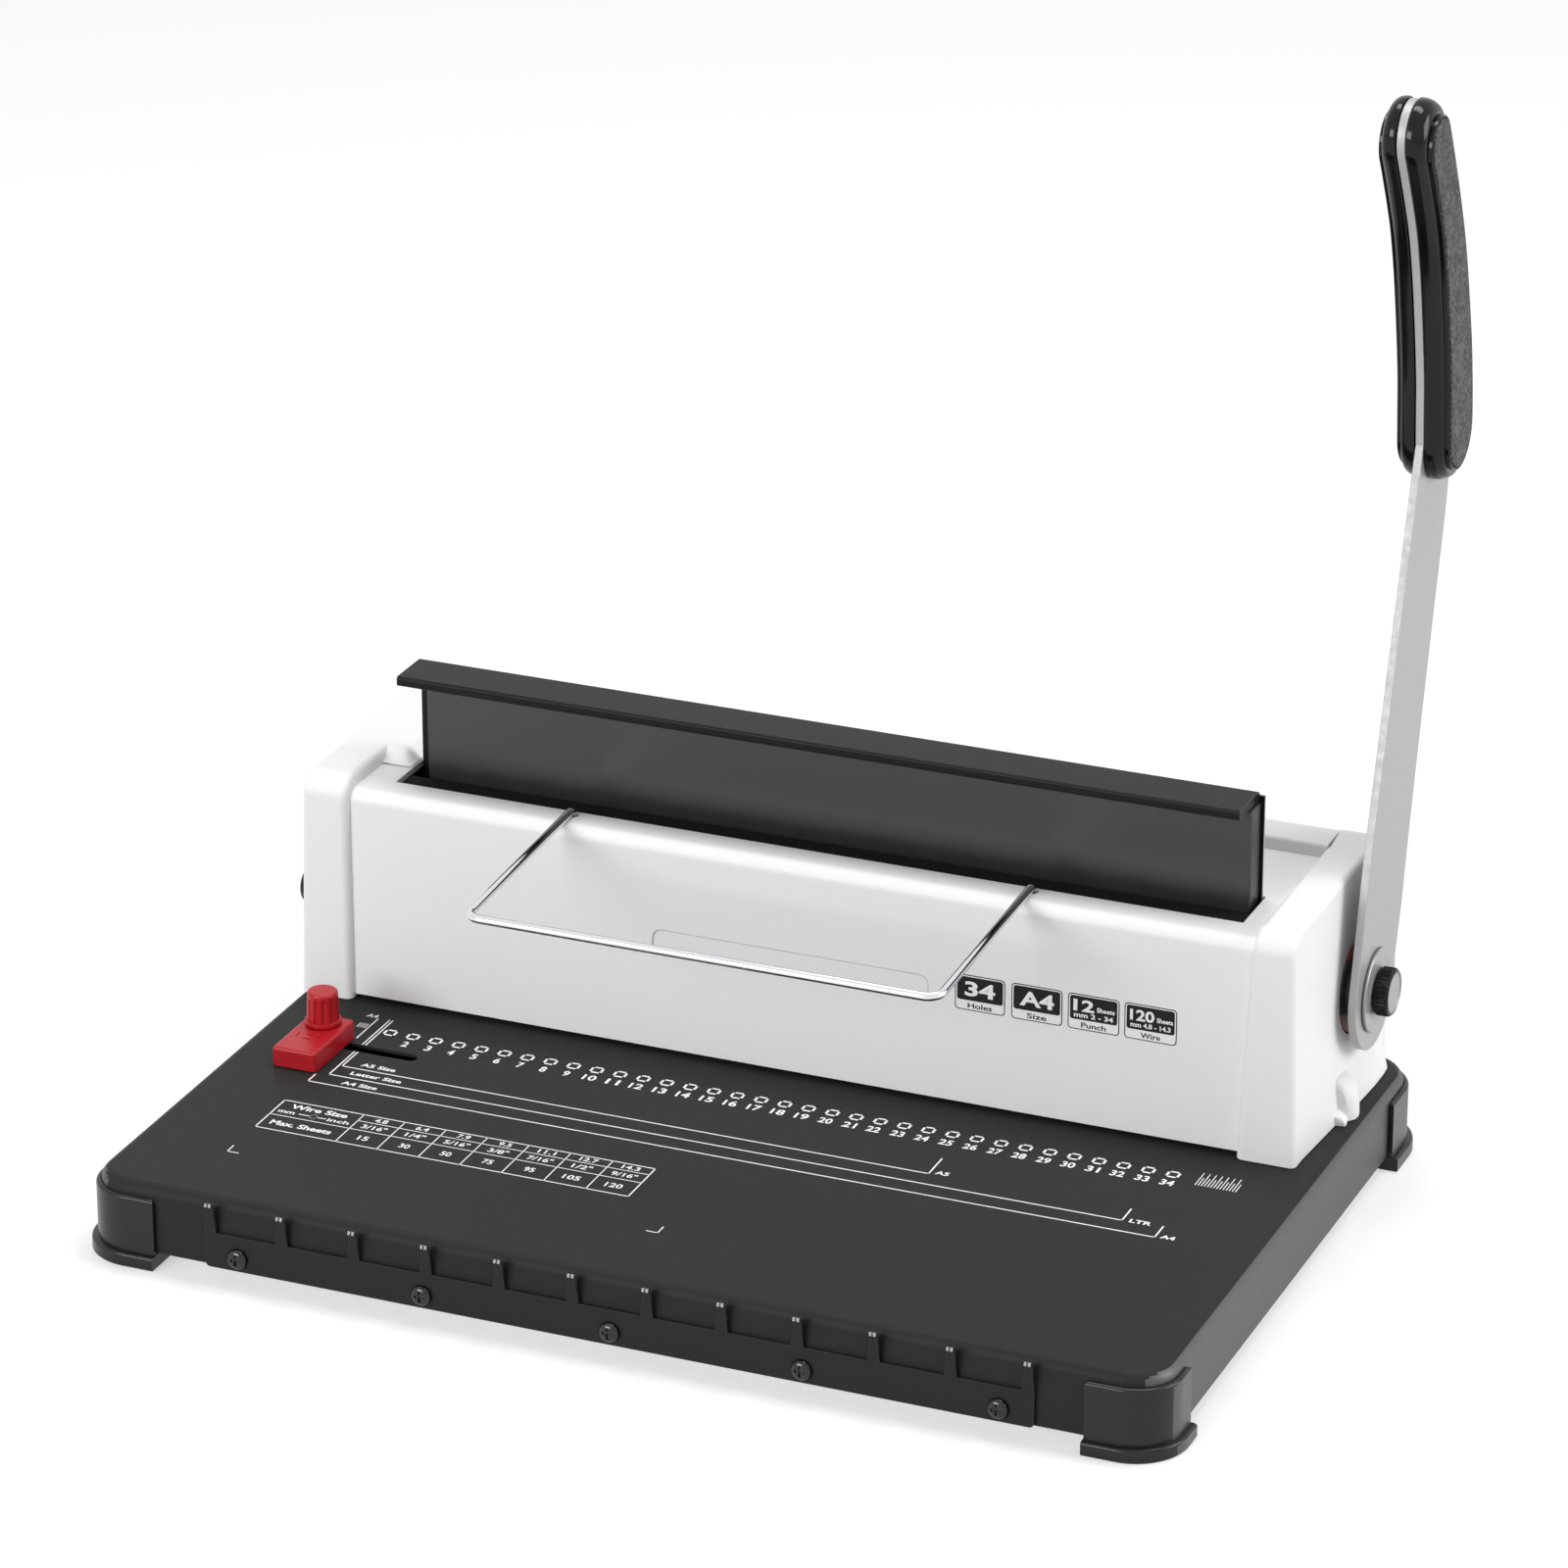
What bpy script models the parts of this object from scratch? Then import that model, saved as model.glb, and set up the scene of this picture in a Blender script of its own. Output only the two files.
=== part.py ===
# Manual twin-loop wire binding machine: punch, wire closer, deck and pull lever.
#
# Machine frame: X runs along the row of hole marks printed on the deck, from the centre
# of the first mark; Y runs to the back; Z is up from the deck's top. Everything hangs
# on one empty, which is moved at the end so that the floor is Z = 0 and the whole
# machine is centred on the origin. All lengths are in metres and all angles in degrees.

import math

import bmesh
import bpy
from mathutils import Matrix, Vector

# Hole row
HOLE_COUNT = 34
HOLE_PITCH = 0.0254 / 3
HOOK_EVERY = 3
ROW_LENGTH = (HOLE_COUNT - 1) * HOLE_PITCH
ROW_MIDDLE = ROW_LENGTH / 2

# Fits
SEAT_GAP = 0.0003
RUNNING_GAP = 0.0006
OVERRUN = 0.004
WELD = 0.000001
SNAP = 0.00001

# Deck pan, folded from sheet steel
DECK_LEFT = 0.0435
DECK_RIGHT_MARGIN = 0.0451
DECK_FRONT = 0.135
DECK_REAR = 0.1155
DECK_SKIRT = 0.0234
DECK_SHEET = 0.0012
DECK_EDGE_RADIUS = 0.004
DECK_CORNER_RADIUS = 0.014
FLOOR_PLATE_THICKNESS = 0.001
DECK_RIGHT = ROW_LENGTH + DECK_RIGHT_MARGIN

# Corner feet
FOOT_REACH = 0.0248
FOOT_FRONT_SIDE_REACH = 0.021
FOOT_BACK_SIDE_REACH = 0.030
FOOT_WALL = 0.0022
FOOT_TOP_DROP = 0.0042
FOOT_PAD = 0.0052
FOOT_TOE = 0.0019
FOOT_TOE_HEIGHT = 0.0048
FOOT_ROUNDING = 0.0012

# Hook strip and its screws on the front skirt
HOOK_COUNT = 12
STRIP_SHEET = 0.0012
STRIP_TOP = 0.0113
STRIP_HEIGHT = 0.0123
STRIP_INSET = 0.0002
HOOK_WIDTH = 0.0042
HOOK_TIP_WIDTH = 0.0022
HOOK_RISE = 0.0112
HOOK_LEAN = 0.0030
HOOK_TIP_LENGTH = 0.0014
HOOK_TIP_RISE = 0.0006
SCREW_COUNT = 5
SCREW_FIRST = 0.0115
SCREW_PITCH = 0.0651
SCREW_BELOW_STRIP_TOP = 0.0075
SCREW_HEAD_RADIUS = 0.0035
SCREW_HEAD_HEIGHT = 0.002
SCREW_SHANK_RADIUS = 0.0014
SCREW_SHANK_LENGTH = 0.006
SCREW_CROSS_WIDTH = 0.0009
SCREW_CROSS_LENGTH = 0.0038
SCREW_CROSS_DEPTH = 0.001

# White housing
COVER_FRONT = 0.0181
COVER_REAR = 0.1145
COVER_HEIGHT = 0.0812
COVER_WALL = 0.0022
COVER_RADIUS = 0.0082
COVER_SIDE_RADIUS = 0.003
COVER_FLANGE = 0.006
COVER_LEFT = 0.0423
COVER_DRAFT = 0.0024
SEAM_LEFT = 0.0235
SEAM_SLANT = 0.0039
RIGHT_COVER_WIDTH = 0.0204
PANEL_SETBACK = 0.003
PANEL_DROP = 0.0047
PANEL_RADIUS = 0.0046
PANEL_LIFT = 0.0016
REAR_RIM = 0.0204
SHOULDER_FRONT = 0.051
RIM_DRAFT = 0.0006
SHOULDER_ROUNDING = 0.0012
BOSS_WIDTH = 0.011
BOSS_HEIGHT = 0.0145
BOSS_PROUD = 0.0044
BOSS_FROM_FRONT = 0.0479
FLARE_PROUD = 0.0038
FLARE_HEIGHT = 0.020
FLARE_REAR_GAP = 0.0075
PANEL_TOP = COVER_HEIGHT - PANEL_DROP
PANEL_FRONT = COVER_FRONT + PANEL_SETBACK

# Shallow bare recess on the front panel
INSET_LEFT = 0.0865
INSET_LENGTH = 0.1005
INSET_BOTTOM = 0.0400
INSET_HEIGHT = 0.0155
INSET_DEPTH = 0.0004

# Wire slot in the housing's top
SLOT_LEFT = 0.0121
SLOT_RIGHT_MARGIN = 0.0099
SLOT_FRONT = 0.0338
SLOT_DEPTH = 0.0224
SLOT_RIGHT = ROW_LENGTH + SLOT_RIGHT_MARGIN
SLOT_REAR = SLOT_FRONT + SLOT_DEPTH

# Wire closer: a folded sheet with a thick top flange and a pressing block
CLOSER_END_GAP = 0.0008
CLOSER_LEFT = SLOT_LEFT + 0.0001
CLOSER_RIGHT = SLOT_RIGHT - CLOSER_END_GAP
CLOSER_SHEET = 0.001
CLOSER_RISE = 0.0328
CLOSER_TOP = COVER_HEIGHT + CLOSER_RISE
CLOSER_FLANGE_THICKNESS = 0.0034
CLOSER_FLANGE_FRONT = 0.0358
CLOSER_FLANGE_SHORT = 0.0010
CLOSER_FLANGE_RADIUS = 0.0010
CLOSER_WEB_HEIGHT = 0.054
CLOSER_BOTTOM = CLOSER_TOP - CLOSER_WEB_HEIGHT
CLOSER_BEND_RADIUS = 0.0026
CLOSER_REAR = SLOT_REAR - RUNNING_GAP
CLOSER_WEB_FRONT = CLOSER_REAR - CLOSER_SHEET
BLOCK_DEPTH = 0.009
BLOCK_LEFT_INSET = 0.0065
BLOCK_RIGHT_INSET = 0.001
TAB_ABOVE_HUB = 0.0088
TAB_HEIGHT = 0.016
TAB_INNER_WIDTH = 0.008
TAB_REACH = 0.0035

# Anvil below the closer
ANVIL_DEPTH = 0.0104
ANVIL_HEIGHT = 0.0075
ANVIL_SUNK = 0.003
ANVIL_PAD = 0.0012
ANVIL_TOP = PANEL_TOP - ANVIL_SUNK
ANVIL_BOTTOM = ANVIL_TOP - ANVIL_HEIGHT

# Side frames
FRAME_THICKNESS = 0.003
FRAME_LEFT = 0.016
FRAME_BESIDE_SLOT = 0.0017
FRAME_FRONT = 0.027
FRAME_REAR = 0.106
FRAME_BELOW_COVER = 0.0018
FRAME_CHAMFER = 0.012
TIE_ROD_RADIUS = 0.003
TIE_ROD_BACK = 0.0985
TIE_ROD_LOW = 0.012
TIE_ROD_ABOVE_HUB = 0.0228
FRAME_RIGHT = SLOT_RIGHT + FRAME_BESIDE_SLOT
FRAME_HEIGHT = PANEL_TOP - COVER_WALL - FRAME_BELOW_COVER
SEAM_RIGHT_BOTTOM = FRAME_RIGHT + FRAME_THICKNESS - SNAP * 10
SEAM_RIGHT_TOP = SEAM_RIGHT_BOTTOM + SEAM_SLANT
COVER_RIGHT = SEAM_RIGHT_BOTTOM + RIGHT_COVER_WIDTH

# Punch and die
PUNCH_ROW = 0.035
PIN_SIDE = 0.004
PIN_CLEARANCE = 0.0003
EDGE_MARGIN = 0.0045
THROAT = 0.002
STRIPPER_HEIGHT = 0.006
STRIPPER_FRONT = 0.0285
DIE_HEIGHT = 0.008
DIE_REAR = 0.045
DIE_SEAT = 0.0003
PIN_STRIP_BOTTOM = 0.0234
PIN_STRIP_HEIGHT = 0.0034
PIN_STRIP_DEPTH = 0.009
PIN_END_MARGIN = 0.003
PIN_TIP = 0.0024
BEAM_HEIGHT = 0.010
BEAM_DEPTH = 0.013
BEAM_END_GAP = 0.0012
GUIDE_ROD_RADIUS = 0.0025
GUIDE_ROD_FROM_ROW = 0.0062

# Drive shaft, gears and racks
HUB_Y = 0.0792
HUB_HEIGHT_SHARE = 0.48276
HUB_Z = COVER_HEIGHT * HUB_HEIGHT_SHARE
TIE_ROD_HIGH = HUB_Z + TIE_ROD_ABOVE_HUB
TAB_BOTTOM = HUB_Z + TAB_ABOVE_HUB
SHAFT_RADIUS = 0.006
SHAFT_LEFT_OVERHANG = 0.003
BUSH_WALL = 0.0028
BUSH_OVERHANG = 0.0012
BUSH_FLANGE = 0.002
GEAR_MODULE = 0.0015
CLOSER_GEAR_TEETH = 26
PUNCH_PINION_TEETH = 12
TOOTH_ADDENDUM = 0.0012
TOOTH_DEDENDUM = 0.0016
GEAR_WIDTH = 0.006
RACK_WIDTH = 0.008
TOOTH_ROOT_SHARE = 0.27
TOOTH_TIP_SHARE = 0.13
CLOSER_RACK_INSET = 0.012
PUNCH_RACK_INSET = 0.028
PUNCH_RACK_BODY = 0.0035
PUNCH_ARM_HEIGHT = 0.006
RACK_END = 0.0075
CLOSER_GEAR_RADIUS = GEAR_MODULE * CLOSER_GEAR_TEETH / 2
PUNCH_PINION_RADIUS = GEAR_MODULE * PUNCH_PINION_TEETH / 2

# Lever, hub and grip
LEVER_STROKE = 90.0
LEVER_THICKNESS = 0.0028
LEVER_HUB_RADIUS = 0.0206
LEVER_HUB_BACK = 0.0009
LEVER_GRIP_HALF_WIDTH = 0.0148
LEVER_STANDOFF = 0.0039
HUB_DISC_RADIUS = 0.0152
HUB_DISC_THICKNESS = 0.0022
HUB_DISC_SUNK = 0.0009
HUB_DISC_FACE = COVER_RIGHT - HUB_DISC_SUNK
LEVER_INNER_FACE = HUB_DISC_FACE + LEVER_STANDOFF
HUB_BOSS_RADIUS = 0.010
HUB_HOLE_CLEARANCE = 0.0007
WASHER_RADIUS = 0.0142
WASHER_THICKNESS = 0.001
THUMB_RADIUS = 0.0082
THUMB_THICKNESS = 0.0052
THUMB_CHAMFER = 0.0009
THUMB_RIDGES = 30
RIDGE_DEPTH = 0.0004
STEM_RADIUS = 0.0025
STEM_LENGTH = 0.016
GRIP_BODY_THICKNESS = 0.0062
GRIP_BEZEL_THICKNESS = 0.0016
GRIP_OVERLAP = 0.0006
INSERT_THICKNESS = 0.0012
INSERT_SUNK = 0.0009
INSERT_MARGIN = 0.0032
BEZEL_MARGIN = 0.0022
BEZEL_HEEL_PULL = 0.0014
BEZEL_TIP_PULL = 0.0030

# A grip half's section: how far each ring is drawn in, in bezel margins, and its height as
# a share of the body's thickness
GRIP_SECTION_SHARES = ((0.0, 0.0), (0.0, 0.45), (0.30, 0.80), (0.82, 1.0))

# Centre lines from the hub, as shares of the lever's length back and up; the third share
# is the half width, in hub radii for the shank and in grip half widths for the grip
LEVER_LENGTH = 0.300
SHANK_LINE_SHARES = (
    (0.0213, 0.0805, 0.990),
    (0.0397, 0.1620, 0.981),
    (0.0703, 0.2727, 0.934),
    (0.1070, 0.4027, 0.893),
    (0.1417, 0.5277, 0.852),
)
GRIP_LINE_SHARES = (
    (0.1500, 0.5947, 1.000),
    (0.1467, 0.6280, 0.997),
    (0.1377, 0.6897, 0.953),
    (0.1117, 0.7900, 0.878),
    (0.0880, 0.8543, 0.811),
    (0.0703, 0.8917, 0.797),
    (0.0513, 0.9280, 0.797),
    (0.0313, 0.9637, 0.797),
)

# Wire support that the hanging sheets rest on, plugged into the slot's front lip
BAIL_RADIUS = 0.0015
BAIL_LEFT = 0.0543
BAIL_RIGHT = 0.2180
BAIL_FOOT_Y = 0.0310
BAIL_REACH = 0.0840
BAIL_SLOPE = 3.1
BAIL_CORNER = 0.005
BAIL_FOOT_BEND = 0.0028
BAIL_FOOT_DEPTH = 0.0042

# Red edge guide and its clamp
GUIDE_LEFT = 0.0248
GUIDE_WIDTH = 0.0146
GUIDE_FRONT = 0.0374
GUIDE_LENGTH = 0.0284
GUIDE_HEIGHT = 0.0070
GUIDE_ROUNDING = 0.0012
GUIDE_SLOT_Y = 0.0150
GUIDE_SLOT_HALF_WIDTH = 0.0027
GUIDE_TRAVEL_LEFT = 0.006
GUIDE_TRAVEL_RIGHT = 0.032
KNOB_RADIUS = 0.0056
KNOB_FLANGE_RADIUS = 0.0062
KNOB_FLANGE_HEIGHT = 0.0016
KNOB_HEIGHT = 0.0118
KNOB_DOME = 0.0009
KNOB_FLUTES = 12
FLUTE_DEPTH = 0.0006
GUIDE_STEM_RADIUS = 0.0024
NUT_THICKNESS = 0.003
NUT_HALF_SIZE = 0.005

# Wire size knob on the left
SIZE_KNOB_RADIUS = 0.0065
SIZE_KNOB_REACH = 0.0100
SIZE_KNOB_STANDOFF = 0.0024
SIZE_KNOB_Y = 0.049
SIZE_KNOB_Z = 0.026
SIZE_SPINDLE_RADIUS = 0.0025
SIZE_CAM_RADIUS = 0.0042
SIZE_CAM_OFFSET = 0.0014
SIZE_CAM_WIDTH = 0.0026

# Chip tray
TRAY_WALL = 0.0012
TRAY_LEFT = 0.008
TRAY_SHORT_OF_SLOT = 0.0013
TRAY_RIGHT = SLOT_RIGHT - TRAY_SHORT_OF_SLOT
TRAY_FRONT = 0.022
TRAY_TOP = 0.0125
TRAY_FACE = 0.0018
TRAY_PULL = 0.0055
TRAY_PULL_LENGTH = 0.070
TRAY_TRAVEL = 0.085

# Return spring around the shaft
SPRING_TURNS = 5
SPRING_STEPS = 12
SPRING_WIRE_RADIUS = 0.0008
SPRING_RADIUS = SHAFT_RADIUS + SPRING_WIRE_RADIUS + 1.5 * SEAT_GAP
SPRING_PITCH = 0.0022
SPRING_START = 0.120

# Facets
ROUND_STEPS = 20
FINE_STEPS = 28
ROD_STEPS = 12
ARC_STEPS = 5

MATERIALS = {
    "deck_black": ((0.012, 0.012, 0.013, 1), 0.42, 0.0),
    "foot_black": ((0.010, 0.010, 0.011, 1), 0.28, 0.0),
    "housing_white": ((0.80, 0.80, 0.80, 1), 0.38, 0.0),
    "closer_black": ((0.020, 0.020, 0.021, 1), 0.34, 0.0),
    "felt_black": ((0.010, 0.010, 0.010, 1), 0.90, 0.0),
    "chrome": ((0.70, 0.70, 0.72, 1), 0.10, 1.0),
    "zinc": ((0.45, 0.46, 0.48, 1), 0.35, 1.0),
    "lever_silver": ((0.42, 0.42, 0.43, 1), 0.38, 0.6),
    "grip_black": ((0.006, 0.006, 0.007, 1), 0.12, 0.0),
    "insert_grey": ((0.030, 0.030, 0.032, 1), 0.80, 0.0),
    "guide_red": ((0.50, 0.010, 0.018, 1), 0.35, 0.0),
    "disc_red": ((0.60, 0.060, 0.020, 1), 0.45, 0.0),
    "knob_black": ((0.012, 0.012, 0.013, 1), 0.45, 0.0),
}


def start_empty_scene():
    for item in list(bpy.data.objects):
        bpy.data.objects.remove(item, do_unlink=True)


def make_collection(name):
    collection = bpy.data.collections.new(name)
    bpy.context.scene.collection.children.link(collection)
    return collection


def make_material(name):
    colour, roughness, metallic = MATERIALS[name]
    material = bpy.data.materials.new(name)
    material.use_nodes = True
    shader = material.node_tree.nodes["Principled BSDF"]
    shader.inputs["Base Color"].default_value = colour
    shader.inputs["Roughness"].default_value = roughness
    shader.inputs["Metallic"].default_value = metallic
    return material


start_empty_scene()
PARTS = make_collection("wire_binding_machine")
CUTTERS = make_collection("cutters")
FINISHES = {name: make_material(name) for name in MATERIALS}


def make_empty(name, parent, place=(0, 0, 0)):
    empty = bpy.data.objects.new(name, None)
    PARTS.objects.link(empty)
    empty.parent = parent
    empty.location = place
    return empty


MACHINE = make_empty("machine", None)
AXES = {
    "base": (0, 0, 0),
    "handle": (LEVER_INNER_FACE, HUB_Y, HUB_Z),
    "punch": (ROW_MIDDLE, PUNCH_ROW, PIN_STRIP_BOTTOM),
    "closer": (ROW_MIDDLE, CLOSER_REAR, CLOSER_TOP),
    "guide": (GUIDE_WIDTH / 2 - GUIDE_LEFT, -GUIDE_SLOT_Y, 0),
    "guide_knob": (GUIDE_WIDTH / 2 - GUIDE_LEFT, -GUIDE_SLOT_Y, GUIDE_HEIGHT),
    "thumb_knob": (LEVER_INNER_FACE, HUB_Y, HUB_Z),
    "size_knob": (-COVER_LEFT, SIZE_KNOB_Y, SIZE_KNOB_Z),
    "chip_tray": (ROW_MIDDLE, DECK_REAR, -DECK_SKIRT),
}
BODIES = {name: make_empty(name + "_axis", MACHINE, place) for name, place in AXES.items()}


def add_part(name, mesh, finish, body="base", smooth=None):
    """A named piece that carries machine coordinates and hangs on its body's axis."""
    part = bpy.data.objects.new(name, mesh)
    PARTS.objects.link(part)
    part.parent = BODIES[body]
    part.matrix_parent_inverse = Matrix.Translation(AXES[body]).inverted()
    mesh.materials.clear()
    mesh.materials.append(FINISHES[finish])
    if smooth:
        mesh.shade_smooth()
        mesh.set_sharp_from_angle(angle=math.radians(smooth))
    return part


def add_cutter(name, mesh):
    cutter = bpy.data.objects.new(name, mesh)
    CUTTERS.objects.link(cutter)
    cutter.parent = MACHINE
    cutter.hide_render = True
    cutter.display_type = "WIRE"
    return cutter


def combine(part, tool, operation):
    modifier = part.modifiers.new(operation.lower(), "BOOLEAN")
    modifier.operation = operation
    modifier.solver = "EXACT"
    modifier.object = tool
    return part


def cut(part, cutter):
    return combine(part, cutter, "DIFFERENCE")


def fuse(part, piece):
    return combine(part, piece, "UNION")


def mesh_from(name, builder):
    mesh = bpy.data.meshes.new(name)
    builder.normal_update()
    builder.to_mesh(mesh)
    builder.free()
    return mesh


def box_bmesh(low, high):
    low, high = Vector(low), Vector(high)
    builder = bmesh.new()
    bmesh.ops.create_cube(builder, size=1)
    bmesh.ops.scale(builder, vec=high - low, verts=builder.verts)
    bmesh.ops.translate(builder, vec=(low + high) / 2, verts=builder.verts)
    return builder


def box_mesh(name, low, high, rounding=0, steps=2, edges=None):
    """A box with all its edges rounded, or only those that the test picks."""
    builder = box_bmesh(low, high)
    if rounding:
        chosen = [edge for edge in builder.edges if edges is None or edges(edge)]
        bmesh.ops.bevel(builder, geom=chosen, offset=rounding, segments=steps,
                        affect="EDGES", profile=0.5)
    return mesh_from(name, builder)


def runs_along(axis):
    """A test for the edges of a box that run along one axis."""
    def test(edge):
        span = edge.verts[1].co - edge.verts[0].co
        return abs(span[axis]) > 2 * max(abs(span[other]) for other in range(3) if other != axis)
    return test


PLANES = {
    "X": Matrix(((0, 0, 1), (1, 0, 0), (0, 1, 0))),
    "Y": Matrix(((1, 0, 0), (0, 0, -1), (0, 1, 0))),
    "Z": Matrix.Identity(3),
}


def plate_mesh(name, outlines, axis, start, thickness):
    """A flat outline with holes, as thick as asked from start along its axis."""
    curve = bpy.data.curves.new(name, "CURVE")
    curve.dimensions = "2D"
    curve.fill_mode = "BOTH"
    curve.extrude = thickness / 2
    for outline in outlines:
        spline = curve.splines.new("POLY")
        spline.points.add(len(outline) - 1)
        for point, (a, b) in zip(spline.points, outline):
            point.co = (a, b, 0, 1)
        spline.use_cyclic_u = True
    guide = bpy.data.objects.new(name + "_outline", curve)
    bpy.context.scene.collection.objects.link(guide)
    turn = PLANES[axis].to_4x4()
    along = {"X": Vector((1, 0, 0)), "Y": Vector((0, 1, 0)), "Z": Vector((0, 0, 1))}[axis]
    guide.matrix_world = Matrix.Translation(along * (start + thickness / 2)) @ turn
    bpy.context.view_layer.update()
    evaluated = guide.evaluated_get(bpy.context.evaluated_depsgraph_get())
    raw = bpy.data.meshes.new_from_object(evaluated)
    raw.transform(guide.matrix_world)
    bpy.data.objects.remove(guide, do_unlink=True)
    builder = bmesh.new()
    builder.from_mesh(raw)
    bpy.data.meshes.remove(raw)
    bmesh.ops.remove_doubles(builder, verts=builder.verts, dist=WELD)
    bmesh.ops.recalc_face_normals(builder, faces=builder.faces)
    return mesh_from(name, builder)


def rectangle(low, high):
    return [(low[0], low[1]), (high[0], low[1]), (high[0], high[1]), (low[0], high[1])]


def arc(centre, radius, start, end, steps):
    """Points on an arc, in degrees, both ends included."""
    points = []
    for step in range(steps + 1):
        angle = math.radians(start + (end - start) * step / steps)
        points.append((centre[0] + radius * math.cos(angle), centre[1] + radius * math.sin(angle)))
    return points


def circle(centre, radius, steps):
    return arc(centre, radius, 0, 360 - 360 / steps, steps - 1)


def rounded_rectangle(low, high, radius, steps=ARC_STEPS):
    corners = (
        ((high[0] - radius, high[1] - radius), 0),
        ((low[0] + radius, high[1] - radius), 90),
        ((low[0] + radius, low[1] + radius), 180),
        ((high[0] - radius, low[1] + radius), 270),
    )
    points = []
    for centre, angle in corners:
        points += arc(centre, radius, angle, angle + 90, steps)
    return points


def ridged_circle(radius, depth, count, steps_per_ridge=4):
    """A knurled or fluted outline: the radius dips once for each ridge."""
    points = []
    total = count * steps_per_ridge
    for step in range(total):
        angle = 2 * math.pi * step / total
        dip = depth * (1 - math.cos(count * angle)) / 2
        points.append(((radius - dip) * math.cos(angle), (radius - dip) * math.sin(angle)))
    return points


def turned_part(name, profile, axis, place, finish, body="base", steps=ROUND_STEPS, closed=False):
    """A profile of (radius, height) pairs, outer side from top to bottom, turned about an axis."""
    mesh = bpy.data.meshes.new(name)
    count = len(profile)
    edges = [(index, index + 1) for index in range(count - 1)]
    if closed:
        edges.append((count - 1, 0))
    mesh.from_pydata([(radius, 0, height) for radius, height in profile], edges, [])
    part = add_part(name, mesh, finish, body)
    turn = {"X": Matrix.Rotation(math.radians(90), 4, "Y"), "Z": Matrix.Identity(4)}[axis]
    part.matrix_basis = Matrix.Translation(place) @ turn
    screw = part.modifiers.new("turn", "SCREW")
    screw.axis = "Z"
    screw.steps = steps
    screw.render_steps = steps
    screw.use_merge_vertices = True
    screw.merge_threshold = WELD
    screw.use_smooth_shade = True
    screw.use_normal_calculate = False
    return part


def rod(name, radius, length, axis, place, finish, body="base", steps=ROD_STEPS):
    """A plain round bar that runs from its place along an axis."""
    return turned_part(name, [(0, length), (radius, length), (radius, 0), (0, 0)],
                       axis, place, finish, body, steps)


def tube(name, radius, bore, length, axis, place, finish, body="base", steps=ROUND_STEPS):
    """A round sleeve that runs from its place along an axis."""
    profile = [(radius, length), (radius, 0), (bore, 0), (bore, length)]
    return turned_part(name, profile, axis, place, finish, body, steps, closed=True)


def wire_mesh(name, points, radius, sides=2):
    """A bent wire with flat ends, as one closed mesh."""
    curve = bpy.data.curves.new(name, "CURVE")
    curve.dimensions = "3D"
    curve.bevel_depth = radius
    curve.bevel_resolution = sides
    curve.use_fill_caps = True
    curve.twist_mode = "MINIMUM"
    spline = curve.splines.new("POLY")
    spline.points.add(len(points) - 1)
    for point, place in zip(spline.points, points):
        point.co = (*place, 1)
    guide = bpy.data.objects.new(name + "_path", curve)
    bpy.context.scene.collection.objects.link(guide)
    bpy.context.view_layer.update()
    evaluated = guide.evaluated_get(bpy.context.evaluated_depsgraph_get())
    raw = bpy.data.meshes.new_from_object(evaluated)
    bpy.data.objects.remove(guide, do_unlink=True)
    builder = bmesh.new()
    builder.from_mesh(raw)
    bpy.data.meshes.remove(raw)
    bmesh.ops.remove_doubles(builder, verts=builder.verts, dist=WELD)
    bmesh.ops.recalc_face_normals(builder, faces=builder.faces)
    return mesh_from(name, builder)


def loft(builder, rings):
    """Faces between rings of vertices, with both ends closed."""
    count = len(rings[0])
    for lower, upper in zip(rings, rings[1:]):
        for index in range(count):
            following = (index + 1) % count
            builder.faces.new((lower[index], lower[following], upper[following], upper[index]))
    builder.faces.new(rings[0])
    builder.faces.new(rings[-1])
    bmesh.ops.recalc_face_normals(builder, faces=builder.faces)


def rod_cutter(name, radius, low, high, axis, place, steps=ROUND_STEPS):
    """A round cutter along X, Y or Z between two stations; place is the other two coordinates."""
    return add_cutter(name, plate_mesh(name, [circle(place, radius, steps)], axis, low, high - low))


# Deck

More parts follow.
